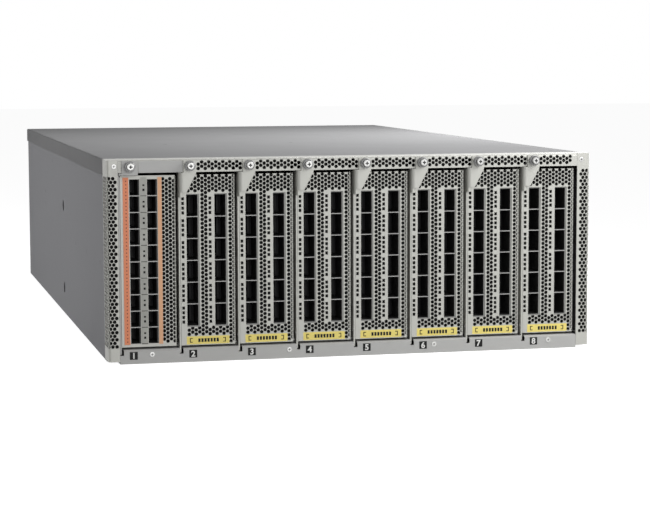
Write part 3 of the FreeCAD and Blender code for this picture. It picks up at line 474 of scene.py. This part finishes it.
def make_face(slot):
    """Folded faceplate with its vents and windows, its carrier sheet and the lever's pivot pin."""
    node = "slot_%d_faceplate" % slot
    body = "module_%d" % slot
    face_right, end = high(node)[:2]
    face_left = face_right - FACE_WIDTH
    wide = slot in WIDE_SLOTS
    first = face_left - BAR[slot]
    straight = FACE_WIDTH + FACE_REACH - FACE_BEND
    total = straight + FACE_BEND * math.pi / 2 + FACE_RETURN - FACE_BEND
    holes = [(x - first, z) for x, z in (wide_holes() if wide else small_holes())]
    windows = [(x0 - first, z0, x1 - first, z1)
               for x0, z0, x1, z1 in (wide_windows() if wide else small_windows())]
    outline = [(0, FACE_FOOT), (total, FACE_FOOT), (total, FACE_TOP), (0, FACE_TOP)]
    folds = fold_lines(straight, FACE_BEND, FACE_FOOT, FACE_TOP, True)
    flat, faces = pierced(outline, holes, windows, folds)
    along, back = folded(flat[:, 0], straight, FACE_BEND)
    shape = Shape()
    shape.add(np.stack([face_left + along, FACE + back, flat[:, 1]], axis=1), faces)
    made = thicken(piece("slot_%d_face" % slot, shape, body, PLATED))
    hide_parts(node)
    carrier = Shape()
    behind, wrap = FACE + SHEET, FRONT + WRAP
    carrier.box((face_left, behind, FACE_FOOT), (face_left + SHEET, wrap, FACE_TOP))
    carrier.box((face_left, wrap, FACE_FOOT), (face_left + SHEET, end, FACE_TOP - CARRIER_DROP))
    carrier.box((face_left + SHEET, behind, FACE_FOOT),
                (face_right - SHEET, end, FACE_FOOT + SHEET))
    piece("slot_%d_carrier" % slot, carrier, body, PLATED)
    pin = Shape()
    start = low(node)[0]
    pin.turned(((0, 0), (PIVOT_RADIUS, 0), (PIVOT_RADIUS, face_left - start)),
               (start, FRONT + PIVOT_DEPTH, PIVOT_RISE), 24, across=True)
    piece("slot_%d_pivot_pin" % slot, pin, body, BRIGHT, smooth=True)


def make_port_insides(slot):
    """Dark contact block in each port, with its rows of contacts as one raised tongue."""
    ports = PORT if slot in WIDE_SLOTS else SMALL
    shape = Shape()
    mouth = FACE + SHEET
    # Depths in the port where the tongue begins, and where the block begins and ends.
    tongue, block, end = mouth + 14, mouth + 22, mouth + 40
    for side in ("left", "right"):
        x = BAR[slot] + ports[side]
        middle = x + ports["width"] / 2
        for port in range(ports["count"]):
            z = ports["floor"] + ports["pitch"] * port
            top = z + ports["pitch"]
            shape.box((x + 0.4, block, z + 0.8), (x + ports["width"] - 0.4, end, top - 0.8))
            shape.box((middle - 0.8, tongue, z + 3), (middle + 0.8, block, top - 3))
    piece("slot_%d_contact_blocks" % slot, shape, "module_%d" % slot, BLACK)


def make_shelf_edges(slot):
    """Bright front edges of the shelves that part the ports, and the rim of the cage that shows
    at the right, the top and the foot of each window of a wide-port module."""
    wide = slot in WIDE_SLOTS
    ports = PORT if wide else SMALL
    shift = 0.0 if wide else SMALL_SHIFT
    half = 0.35 if wide else 0.4
    floor, top = ports["floor"], port_top(ports)
    near, far = FACE + 0.7, FACE + SHEET
    shape = Shape()
    rim = Shape()
    for side in ("left", "right"):
        x = BAR[slot] + ports[side] + shift
        end = x + ports["width"]
        for port in range(1, ports["count"]):
            z = floor + ports["pitch"] * port
            shape.box((x, FACE + 0.1, z - half), (end, far, z + half))
        if wide:
            rim.box((end, near, floor - WINDOW_BELOW),
                    (end + WINDOW_RIGHT, far, top + WINDOW_ABOVE))
            rim.box((x, near, floor - WINDOW_BELOW), (end, far, floor - 0.1))
            rim.box((x, near, top + 0.1), (end, far, top + WINDOW_ABOVE))
    piece("slot_%d_shelf_edges" % slot, shape, "module_%d" % slot, SHELF_EDGE)
    if wide:
        piece("slot_%d_cage_rims" % slot, rim, "module_%d" % slot, CAGE_RIM)


def make_vent_foam(slot):
    """Dark slabs behind a faceplate's vents, painted shade of the module's inside: slabs above,
    below and beside the port columns.
    """
    near = FACE + SHEET + 0.6
    far = near + 2.5
    foot, end = FACE_FOOT + 1.5, FACE_TOP - 1.0
    if slot in WIDE_SLOTS:
        floor, top = PORT["floor"] - 1.5, port_top(PORT) + 1.5
        slabs = ((5.0, top, 47.0, end), (5.0, foot, 47.0, floor), (19.0, floor, 25.0, top),
                 (43.4, floor, 47.0, top))
    else:
        slabs = ((35.0, foot, 47.0, end),)
    shape = Shape()
    for x0, z0, x1, z1 in slabs:
        shape.box((BAR[slot] + x0, near, z0), (BAR[slot] + x1, far, z1))
    piece("slot_%d_vent_foam" % slot, shape, "module_%d" % slot, VENT_SHADE)


def make_light_guides(slot):
    """Dark light guides that stand behind the small windows of a wide-port module."""
    shape = Shape()
    back = FACE + SHEET + 1.8
    top = port_top(PORT)
    for start, end in ((1.6, 4.3), (25.6, 28.4)):
        shape.box((BAR[slot] + start, back, PORT["floor"]), (BAR[slot] + end, back + 2.5, top))
    piece("slot_%d_light_guides" % slot, shape, "module_%d" % slot, BLACK)


def make_label(slot):
    """Plain yellow label low on a module, with plain dark marks between two pairs of brackets."""
    label = Shape()
    label.box((BAR[slot] + 5.6, FACE - 0.08, 15.1), (BAR[slot] + 43.4, FACE - 0.01, 22.1))
    piece("slot_%d_label" % slot, label, "module_%d" % slot, YELLOW)
    marks = Shape()

    def mark(x, low_end, high_end, wide):
        start = BAR[slot] + x
        marks.box((start, FACE - 0.12, low_end), (start + wide, FACE - 0.07, high_end))

    for step in range(7):
        mark(15.8 + 2.7 * step, 16.9, 20.1, 1.9)
    foot, top, stroke, reach = 16.6, 20.6, 0.7, 2.4
    # A bracket stands at the left with its arms to the right, and its mirror at the right.
    for upright, arms in ((8.4, 8.4), (40.2 - stroke, 40.2 - reach)):
        mark(upright, foot, top, stroke)
        mark(arms, foot, foot + stroke, reach)
        mark(arms, top - stroke, top, reach)
    piece("slot_%d_label_marks" % slot, marks, "module_%d" % slot, INK)


# Captive screws, as shares of the head's radius: the flat face that the cross is cut in, and the
# cross's arm and half width. Then, in millimetres, the head's length and the cross's depth.
SCREW_FLAT = 0.62
CROSS_ARM = 0.5
CROSS_HALF = 0.17
HEAD_LENGTH = 3.2
CROSS_DEPTH = 1.1
SHANK_RADIUS = 1.95
SLEEVE_RIBS = 3
SLEEVE_VALLEY = 4.0
SLEEVE_CREST = 4.5


def make_screw_head(x, z, front, radius):
    """Knurled head with a bevelled edge and a cross recess in its flat face."""
    head = Shape()
    sides = 60
    angles = turns(sides)
    knurl = np.where(np.arange(sides) % 2, 0.97, 1.0)
    rings = []
    for part, depth in ((SCREW_FLAT, 0.0), (0.84, 0.0), (1.0, 0.6), (1.0, 2.9), (0.9, HEAD_LENGTH),
                        (0.3, HEAD_LENGTH)):
        r = radius * part * (knurl if part == 1.0 else 1.0)
        rings.append(np.stack([x + r * np.cos(angles), np.full(sides, front + depth),
                               z + r * np.sin(angles)], axis=1))
    head.grid(np.stack(rings), True)
    arm, half = radius * CROSS_ARM, radius * CROSS_HALF
    cross = [(arm, -half), (arm, half), (half, half), (half, arm), (-half, arm), (-half, half),
             (-arm, half), (-arm, -half), (-half, -half), (-half, -arm), (half, -arm),
             (half, -half)]
    rim = [(radius * SCREW_FLAT * math.cos(a), radius * SCREW_FLAT * math.sin(a)) for a in angles]
    edges = [(i, (i + 1) % sides) for i in range(sides)]
    edges += [(sides + i, sides + (i + 1) % len(cross)) for i in range(len(cross))]
    flat, faces, middle = net_of(rim + cross, edges, 1e-6)
    out, up = np.abs(middle).T
    in_cross = (out < arm) & (up < half) | (up < arm) & (out < half)
    head.add(np.stack([x + flat[:, 0], np.full(len(flat), front), z + flat[:, 1]], axis=1),
             faces[~in_cross])
    walls = np.array(cross + cross[:1])
    band = [np.stack([x + walls[:, 0], np.full(len(walls), front + depth), z + walls[:, 1]], axis=1)
            for depth in (0.0, CROSS_DEPTH)]
    head.grid(np.stack(band), False)
    return head


def make_captive_screw(slot):
    """Captive screw: a knurled head with a cross recess, its shank and a ribbed spring sleeve."""
    node = "slot_%d_captive_screw" % slot
    body = "screw_%d" % slot
    start, end = low(node), high(node)
    x, z = (start[0] + end[0]) / 2, (start[2] + end[2]) / 2
    radius = (end[0] - start[0]) / 2
    front = start[1]
    head = make_screw_head(x, z, front, radius)
    made = piece("slot_%d_screw_head" % slot, head, body, BRIGHT)
    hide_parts(node)
    # A dark disc at the floor of the cross recess: painted shade.
    recess = Shape()
    wide = radius * 0.6
    recess.turned(((0, CROSS_DEPTH), (wide, CROSS_DEPTH), (wide, 1.3), (0, 1.3)), (x, front, z), 24)
    piece("slot_%d_screw_recess" % slot, recess, body, RECESS_SHADE)
    shank = Shape()
    tip = end[1] - front
    shank.turned(((0, 3.0), (SHANK_RADIUS, 3.0), (SHANK_RADIUS, tip), (0, tip)), (x, front, z), 32)
    piece("slot_%d_screw_shank" % slot, shank, body, BRIGHT, smooth=True)
    near = front + HEAD_LENGTH + 0.25
    far = low("slot_%d_ejector" % slot)[1] + 0.02
    pitch = (far - near) / SLEEVE_RIBS
    mouth = radius + 0.35
    ribs = [(mouth, near)]
    for rib in range(SLEEVE_RIBS):
        ribs += [(SLEEVE_VALLEY, near + pitch * rib), (SLEEVE_CREST, near + pitch * (rib + 0.25)),
                 (SLEEVE_CREST, near + pitch * (rib + 0.6)),
                 (SLEEVE_VALLEY, near + pitch * (rib + 0.95))]
    ribs += [(SLEEVE_VALLEY, far), (mouth, far)]
    sleeve = Shape()
    sleeve.turned([(r, y - near) for r, y in ribs], (x, near, z), 40)
    piece("slot_%d_screw_sleeve" % slot, sleeve, "lever_%d" % slot, SPRING_STEEL)


def make_small_port_trim():
    """Colour strips of the small-port module, and the grey strip between its port columns with its
    lines and small light windows."""
    bar = BAR[1]
    foot, top = 16.6, FACE_TOP - 1.5
    middle = (18.3, 23.9)
    for name, (start, end), slot_name, colour in (
            ("colour_strip", (3.2, 8.2), "frame_paint", ORANGE),
            ("pale_strip", (33.5, 37.0), "frame_paint", PEACH),
            ("middle_strip", middle, "sill_paint", MIDDLE_GREY)):
        strip = Shape()
        strip.box((bar + start, FACE - 0.25, foot), (bar + end, FACE - 0.01, top))
        piece("slot_1_" + name, strip, "module_1", colour)
    near, far = FACE - 0.3, FACE - 0.24
    marks = Shape()
    for port in range(SMALL["count"]):
        z = SMALL["floor"] + SMALL["pitch"] * port
        marks.box((bar + middle[0], near, z - 0.25), (bar + middle[1], far, z + 0.25))
        for share, half in ((0.36, 1.0), (0.64, 0.7)):
            light = z + SMALL["pitch"] * share
            marks.box((bar + 20.3, near, light - half), (bar + 22.1, far, light + half))
    piece("slot_1_marks", marks, "module_1", INK)
    ticks = Shape()
    for tick in np.arange(foot + 2.5, top - 2.0, 3.1):
        ticks.box((bar + 5.5, near, tick - 0.55), (bar + 6.4, far, tick + 0.55))
    piece("slot_1_strip_ticks", ticks, "module_1", RUST)


# ---- frame -----------------------------------------------------------------------------------

# Vents of the frame's strips: step across, heights between which they stand, how far they stay
# from the end of the return; then for each side (-1 left, 1 right) the row pitch, and where the
# two staggered fields start across from the free edge and up.
STRIP_STEP = 3.6
STRIP_VENTS = (14.5, 163.5)
STRIP_END = 2.2
STRIP_ROW = {-1: 6.19, 1: 6.215}
STRIP_STARTS = {-1: ((2.55, 21.84), (4.4, 18.76)), 1: ((3.7, 21.4), (5.5, 18.3))}


def make_strip(side):
    """Bent and vented strip at one side of the frame: front face, bend and side return."""
    node = "left_vent_strip" if side < 0 else "right_vent_strip"
    start, end = low(node), high(node)
    straight = end[0] - start[0] - BEND
    total = straight + BEND * math.pi / 2 + WRAP - BEND
    holes = [(x, z) for across, height in STRIP_STARTS[side]
             for x in places(across, STRIP_STEP, total - STRIP_END)
             for z in rows(height, STRIP_ROW[side], *STRIP_VENTS)]
    outline = [(0, start[2]), (total, start[2]), (total, end[2]), (0, end[2])]
    folds = fold_lines(straight, BEND, start[2], end[2], True)
    flat, faces = pierced(outline, holes, (), folds)
    along, back = folded(flat[:, 0], straight, BEND)
    shape = Shape()
    free_edge = end[0] if side < 0 else start[0]
    points = np.stack([free_edge + side * along, FRONT + back, flat[:, 1]], axis=1)
    shape.add(points, faces if side > 0 else faces[:, ::-1])
    made = thicken(piece(node + "_vented", shape, "root", PLATED))
    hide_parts(node)
    # Dark slabs behind the strip's face and along its return: painted shade seen through the vents.
    vent_shade = Shape()
    near = FRONT + SHEET + 0.4
    inner = start[0] + SHEET + 0.4 if side < 0 else end[0] - SHEET - 0.4
    lining = (inner, inner + 0.8) if side < 0 else (inner - 0.8, inner)
    face = (lining[1], end[0] - 0.6) if side < 0 else (start[0] + 0.6, lining[0])
    foot = 13.0
    vent_shade.box((face[0], near, foot), (face[1], near + 1.0, FACE_TOP))
    vent_shade.box((lining[0], near, foot), (lining[1], FRONT + 20.5, FACE_TOP))
    piece(node + "_foam", vent_shade, "root", VENT_SHADE)


# Vents of the top rail: step across, two staggered fields as their start across from a slot's bar
# and their two heights, and where they end; the last slot's field is shorter. Then the radius of
# the bores for the captive screws.
RAIL_STEP = 6.16
RAIL_FIELDS = ((16.6, (168.8, 172.5)), (19.7, (170.7, 174.4)))
RAIL_REACH = 53.6
RAIL_LAST_REACH = 45.0
RAIL_BORE = 2.5


def make_rail():
    """Bent and vented top rail between the strips, with its return over the top."""
    node = "top_vent_rail"
    start, end = low(node), high(node)
    straight = TOP - RAIL_FOOT - BEND
    corner = straight + BEND * math.pi / 2
    total = corner + WRAP - BEND
    face_left = high("left_vent_strip")[0] + SEAM
    face_right = low("right_vent_strip")[0] - SEAM
    holes = []
    for slot in WIDE_SLOTS:
        reach = RAIL_REACH if slot < WIDE_SLOTS[-1] else RAIL_LAST_REACH
        for first, pair in RAIL_FIELDS:
            holes += [(BAR[slot] + x, z - RAIL_FOOT) for x in places(first, RAIL_STEP, reach)
                      for z in pair]
    outline = [(face_left, 0), (face_right, 0), (face_right, corner), (end[0], corner),
               (end[0], total), (start[0], total), (start[0], corner), (face_left, corner)]
    folds = fold_lines(straight, BEND, face_left, face_right, False)
    bores = []
    for slot in SLOTS:
        screw = "slot_%d_captive_screw" % slot
        bores.append(((low(screw)[0] + high(screw)[0]) / 2,
                      (low(screw)[2] + high(screw)[2]) / 2 - RAIL_FOOT, RAIL_BORE))
    flat, faces = pierced(outline, holes, (), folds, bores)
    along, back = folded(flat[:, 1], straight, BEND)
    shape = Shape()
    shape.add(np.stack([flat[:, 0], FRONT + back, RAIL_FOOT + along], axis=1), faces)
    made = thicken(piece("top_rail_vented", shape, "root", PLATED))
    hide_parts(node)
    # Dark slabs behind the rail's vents: painted shade seen through them.
    vent_shade = Shape()
    for slot in WIDE_SLOTS:
        vent_shade.box((BAR[slot] + 13.5, FRONT + SHEET + 0.4, RAIL_FOOT + 0.6),
                 (BAR[slot] + 46.0, FRONT + SHEET + 1.6, TOP - SHEET - 0.6))
    piece("top_rail_foam", vent_shade, "root", VENT_SHADE)


# Frame screws: how far in the two upper ones stand; the lower ones' height, and each as a slot
# and a place across from its bar. The profile is a head of little height.
UPPER_SCREWS_IN = (6.6, 8.0)
SILL_SCREW_RISE = 7.8
SILL_SCREWS = ((1, 26.8), (3, 44.5), (6, 21.0), (8, 24.8))
FRAME_SCREW = ((0, 0.12), (1.2, 0.1), (2.0, 0.0), (2.25, 0.15), (2.25, 0.4), (0, 0.4))


def make_frame_screws():
    """Flat cross-recessed screws on the frame's upper corners and along the sill; each cross is a
    dark mark, painted shade of the recess.
    """
    start = FRONT - FRAME_SCREW[-1][1]
    upper = (RAIL_FOOT + TOP) / 2
    spots = [(low("left_vent_strip")[0] + UPPER_SCREWS_IN[0], upper),
             (high("right_vent_strip")[0] - UPPER_SCREWS_IN[1], upper)]
    spots += [(BAR[slot] + x, SILL_SCREW_RISE) for slot, x in SILL_SCREWS]
    arm, half = 1.0, 0.22
    shape = Shape()
    marks = Shape()
    for x, z in spots:
        shape.turned(FRAME_SCREW, (x, start, z), 32)
        # The cross is a dark mark standing on the head: painted shade of the recess.
        marks.box((x - arm, start + 0.02, z - half), (x + arm, start + 0.3, z + half))
        marks.box((x - half, start + 0.01, z - arm), (x + half, start + 0.29, z + arm))
    made = piece("frame_screw_heads", shape, "root", BRIGHT, smooth=True)
    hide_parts("frame_screws")
    piece("frame_screw_recesses", marks, "root", RECESS_SHADE)


# Slot numbers: middle of the square from the slot's bar and up, and its half width and height.
NUMBER_ACROSS = 10.7
NUMBER_RISE = 7.3
NUMBER_HALF = (3.5, 3.4)


def digit_mesh(slot):
    """Flat points round the digit's middle, and the triangles of the digit."""
    words = bpy.data.curves.new("digit", "FONT")
    words.body = str(slot)
    words.size = 7.2
    words.offset = 0.22
    words.align_x = "CENTER"
    words.align_y = "CENTER"
    holder = bpy.data.objects.new("digit", words)
    mesh = bpy.data.meshes.new_from_object(holder)
    flat = np.empty(len(mesh.vertices) * 3)
    mesh.vertices.foreach_get("co", flat)
    flat = flat.reshape(-1, 3)[:, :2]
    flat -= (flat.min(axis=0) + flat.max(axis=0)) / 2
    faces = [tuple(p.vertices) for p in mesh.polygons]
    bpy.data.objects.remove(holder)
    bpy.data.curves.remove(words)
    bpy.data.meshes.remove(mesh)
    return flat, faces


def make_numbers():
    """Dark square with a pale digit on the sill below each slot."""
    squares = Shape()
    digits = Shape()
    wide, tall = NUMBER_HALF
    for slot in SLOTS:
        centre = BAR[slot] + NUMBER_ACROSS
        squares.box((centre - wide, FRONT - 0.10, NUMBER_RISE - tall),
                    (centre + wide, FRONT - 0.01, NUMBER_RISE + tall))
        flat, faces = digit_mesh(slot)
        digits.add(np.stack([centre + flat[:, 0], np.full(len(flat), FRONT - 0.14),
                             NUMBER_RISE + flat[:, 1]], axis=1), faces)
    piece("slot_number_squares", squares, "root", INK)
    piece("slot_number_digits", digits, "root", PALE)


# Side wall studs: places back from the front and up, and the profile as radius and rise.
STUDS = ((552, 115), (553, 101), (472, 153), (476, 88), (255, 83), (164, 83), (63, 83))
STUD = ((0.01, 0.3), (1.2, 0.28), (1.9, 0.12), (2.1, 0.0))


def make_side_studs():
    """Low round studs on both side walls."""
    shape = Shape()
    for face, way in ((low("left_side_wall")[0], -1), (high("right_side_wall")[0], 1)):
        for depth, rise in STUDS:
            shape.turned([(radius, way * out) for radius, out in STUD],
                         (face, FRONT + depth, rise), 20, across=True)
    piece("side_wall_studs", shape, "root", SHADED_SIDE_GREY, smooth=True)


# ---- rear ------------------------------------------------------------------------------------

FAN_GUARD_RINGS = (14, 24, 34, 44, 52)
FAN_GUARD_WIRE = 0.7
THUMB_SCREW = ((0, 0), (2.4, 0), (2.4, 1.2), (4.1, 1.2), (4.4, 1.5), (4.4, 5.2), (4.0, 5.6),
               (1.4, 5.6), (1.2, 5.2), (0, 5.2))
THUMB_SCREW_IN = 7.5


def make_fan_guard(number):
    """Wire rings, one inside another, over a fan's duct."""
    node = "fan_%d_tray" % number
    start, end = low(node), high(node)
    centre = ((start[0] + end[0]) / 2, (start[2] + end[2]) / 2)
    shape = Shape()
    angles = np.linspace(0, 2 * math.pi, 73)
    for radius in FAN_GUARD_RINGS:
        path = np.stack([centre[0] + radius * np.cos(angles), np.full(len(angles), end[1] - 1.0),
                         centre[1] + radius * np.sin(angles)], axis=1)
        shape.tube(path, FAN_GUARD_WIRE, 8)
    piece("fan_%d_guard" % number, shape, "fan_tray_%d" % number, ZINC, smooth=True)


def make_fan_screws(number):
    """Two round thumb screws that hold a fan tray, one at each side of its duct."""
    node = "fan_%d_tray" % number
    start, end = low(node), high(node)
    middle = (start[2] + end[2]) / 2
    shape = Shape()
    for x in (start[0] + THUMB_SCREW_IN, end[0] - THUMB_SCREW_IN):
        shape.turned(THUMB_SCREW, (x, end[1] - 0.02, middle), 36)
    piece("fan_%d_thumb_screws" % number, shape, "fan_tray_%d" % number, ZINC)


# Rear of a supply, across from its left: the vented sheet's ends and half height, the left edges
# of the handle's legs with their width and half height, and the middle of the inlet with its
# blades' places across and up from there.
SUPPLY_SHEET = (41.0, 89.0)
SUPPLY_SHEET_HALF = 16.0
SUPPLY_LEGS = (46.4, 77.4)
SUPPLY_LEG_WIDTH = 6.2
SUPPLY_LEG_HALF = 5.6
SUPPLY_VENT_STEP = 3.6
SUPPLY_VENT_ROW = 3.1
INLET_ACROSS = 23.5
INLET_BLADES = ((-7.0, -1.5), (7.0, -1.5), (0.0, 2.5))


def make_supply_rear(number):
    """Vented sheet over a dark backing of painted shade round the handle's legs, and the inlet's
    three blades.
    """
    case = "supply_%d_case" % number
    body = "supply_%d" % number
    left, foot = low(case)[0], low(case)[2]
    middle = foot + (high(case)[2] - foot) / 2
    sheet_left, sheet_right = left + SUPPLY_SHEET[0], left + SUPPLY_SHEET[1]
    sheet_foot, sheet_top = middle - SUPPLY_SHEET_HALF, middle + SUPPLY_SHEET_HALF
    legs = [(left + x, middle - SUPPLY_LEG_HALF, left + x + SUPPLY_LEG_WIDTH,
             middle + SUPPLY_LEG_HALF) for x in SUPPLY_LEGS]
    margin = HOLE / 2 + 0.6

    def clear(x, z):
        return not any(x0 - margin < x < x1 + margin and z0 - margin < z < z1 + margin
                       for x0, z0, x1, z1 in legs)

    holes = []
    for row in range(-4, 5):
        z = middle + SUPPLY_VENT_ROW * row
        first = sheet_left + 3.0 + (SUPPLY_VENT_STEP / 2 if row % 2 else 0.0)
        holes += [(x, z) for x in places(first, SUPPLY_VENT_STEP, sheet_right - 2.5) if clear(x, z)]
    outline = [(sheet_left, sheet_foot), (sheet_right, sheet_foot),
               (sheet_right, sheet_top), (sheet_left, sheet_top)]
    flat, faces = pierced(outline, holes, legs)
    shape = Shape()
    shape.add(np.stack([flat[:, 0], np.full(len(flat), REAR + 0.7), flat[:, 1]], axis=1),
              faces[:, ::-1])
    thicken(piece("supply_%d_vent_sheet" % number, shape, body, ZINC), 0.6)
    # The dark backing is painted shade seen through the vents.
    shade_backing = Shape()
    edge = 0.3
    ends = (sheet_left, legs[0][0], legs[0][2], legs[1][0], legs[1][2], sheet_right)
    for start, end in zip(ends[::2], ends[1::2]):
        shade_backing.box((start + edge, REAR + 0.01, sheet_foot + edge),
                    (end - edge, REAR + 0.06, sheet_top - edge))
    piece("supply_%d_vent_backing" % number, shade_backing, body, VENT_SHADE)
    blades = Shape()
    for x, z in INLET_BLADES:
        centre = left + INLET_ACROSS + x
        blades.box((centre - 1.0, REAR - 17.9, middle + z - 2.0),
                   (centre + 1.0, REAR - 3.0, middle + z + 2.0))
    piece("supply_%d_inlet_blades" % number, blades, body, BRIGHT)


# ---- put together ----------------------------------------------------------------------------

def dress_frame():
    """Gives every CAD node the finish of its material slot."""
    slots = {part["node"]: part["material_slot"] for part in frame["record"]["subparts"]}
    for name, node in frame["nodes"].items():
        node.data.materials.clear()
        node.data.materials.append(SLOT_FINISH[slots[name]])


def mix_seen(nodes, links, plain, seen, out):
    """Shows the one shader where a ray comes from the camera, from a reflection or through glass,
    and the other, plain one where the ray only lights."""
    path = nodes.new("ShaderNodeLightPath")
    total = path.outputs["Is Camera Ray"]
    for kind in ("Is Glossy Ray", "Is Transmission Ray"):
        either = nodes.new("ShaderNodeMath")
        either.operation = "MAXIMUM"
        links.new(total, either.inputs[0])
        links.new(path.outputs[kind], either.inputs[1])
        total = either.outputs["Value"]
    mix = nodes.new("ShaderNodeMixShader")
    links.new(total, mix.inputs["Fac"])
    links.new(plain, mix.inputs[1])
    links.new(seen, mix.inputs[2])
    links.new(mix.outputs["Shader"], out.inputs["Surface"])


def make_world():
    """Surroundings that look white and light the object only faintly."""
    world = bpy.data.worlds.new("studio")
    bpy.context.scene.world = world
    world.use_nodes = True
    nodes, links = world.node_tree.nodes, world.node_tree.links
    nodes.clear()
    glow = nodes.new("ShaderNodeBackground")
    glow.inputs["Color"].default_value = (0.95, 0.97, 1.0, 1)
    glow.inputs["Strength"].default_value = 0.02
    white = nodes.new("ShaderNodeBackground")
    white.inputs["Color"].default_value = (1, 1, 1, 1)
    white.inputs["Strength"].default_value = 1.0
    out = nodes.new("ShaderNodeOutputWorld")
    mix_seen(nodes, links, glow.outputs["Background"], white.outputs["Background"], out)


def make_floor():
    """Pale floor that takes the object's shadow and glows where it is seen."""
    half = 8
    mesh = bpy.data.meshes.new("floor")
    mesh.from_pydata([(-half, -half, 0), (half, -half, 0), (half, half, 0), (-half, half, 0)],
                     [], [(0, 1, 2, 3)])
    floor = bpy.data.objects.new("floor", mesh)
    bpy.context.collection.objects.link(floor)
    pale = bpy.data.materials.new("pale floor")
    nodes, links = node_tree(pale)
    paint = nodes.new("ShaderNodeBsdfDiffuse")
    paint.inputs["Color"].default_value = (0.7, 0.7, 0.7, 1)
    glow = nodes.new("ShaderNodeEmission")
    glow.inputs["Strength"].default_value = 0.95
    lit = nodes.new("ShaderNodeAddShader")
    out = nodes.new("ShaderNodeOutputMaterial")
    links.new(paint.outputs["BSDF"], lit.inputs[0])
    links.new(glow.outputs["Emission"], lit.inputs[1])
    mix_seen(nodes, links, paint.outputs["BSDF"], lit.outputs["Shader"], out)
    mesh.materials.append(pale)


def soft_light(name, place, aim, size, power, long=None):
    """A square area lamp, or an oblong one where its longer side is given, turned to its aim."""
    lamp = bpy.data.lights.new(name, "AREA")
    lamp.size = size
    if long:
        lamp.shape = "RECTANGLE"
        lamp.size_y = long
    lamp.energy = power
    holder = bpy.data.objects.new(name, lamp)
    holder.location = place
    holder.rotation_euler = (Vector(aim) - Vector(place)).to_track_quat("-Z", "Y").to_euler()
    bpy.context.collection.objects.link(holder)


def make_studio():
    """White floor and surroundings, soft lights, and the camera. Lengths are in metres."""
    make_world()
    make_floor()
    soft_light("front softbox", (0.0, -2.2, 0.6), (0.0, -0.38, 0.1), 1.2, 14.5)
    soft_light("near softbox", (0.35, -0.62, 0.42), (0.0, -0.2, 0.17), 0.3, 1.7)
    soft_light("right strip light", (0.42, 0.05, 0.45), (0.1, 0.0, 0.17), 0.25, 5.5, 1.2)
    soft_light("left strip light", (-1.3, 0.1, 0.11), (-0.2, 0.1, 0.10), 0.12, 5.6, 1.2)
    camera = bpy.data.cameras.new("camera")
    camera.sensor_width = 36
    camera.lens = 111.6
    holder = bpy.data.objects.new("camera", camera)
    holder.location = (-0.4363, -2.1002, 0.2670)
    holder.rotation_euler = [math.radians(a) for a in (84.16, 0.17, -13.40)]
    bpy.context.collection.objects.link(holder)
    scene = bpy.context.scene
    scene.camera = holder
    scene.view_settings.view_transform = "Standard"


def write_sizes():
    """Updates the view layer, before and after the looks are added."""
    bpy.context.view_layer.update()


write_sizes()
dress_frame()
for slot in SLOTS:
    make_face(slot)
    make_port_insides(slot)
    make_shelf_edges(slot)
    make_vent_foam(slot)
    make_captive_screw(slot)
for slot in WIDE_SLOTS:
    make_light_guides(slot)
    make_label(slot)
make_small_port_trim()
make_strip(-1)
make_strip(1)
make_rail()
make_frame_screws()
make_numbers()
make_side_studs()
for number in range(1, 5):
    make_supply_rear(number)
for number in range(1, 4):
    make_fan_guard(number)
    make_fan_screws(number)
make_studio()
write_sizes()
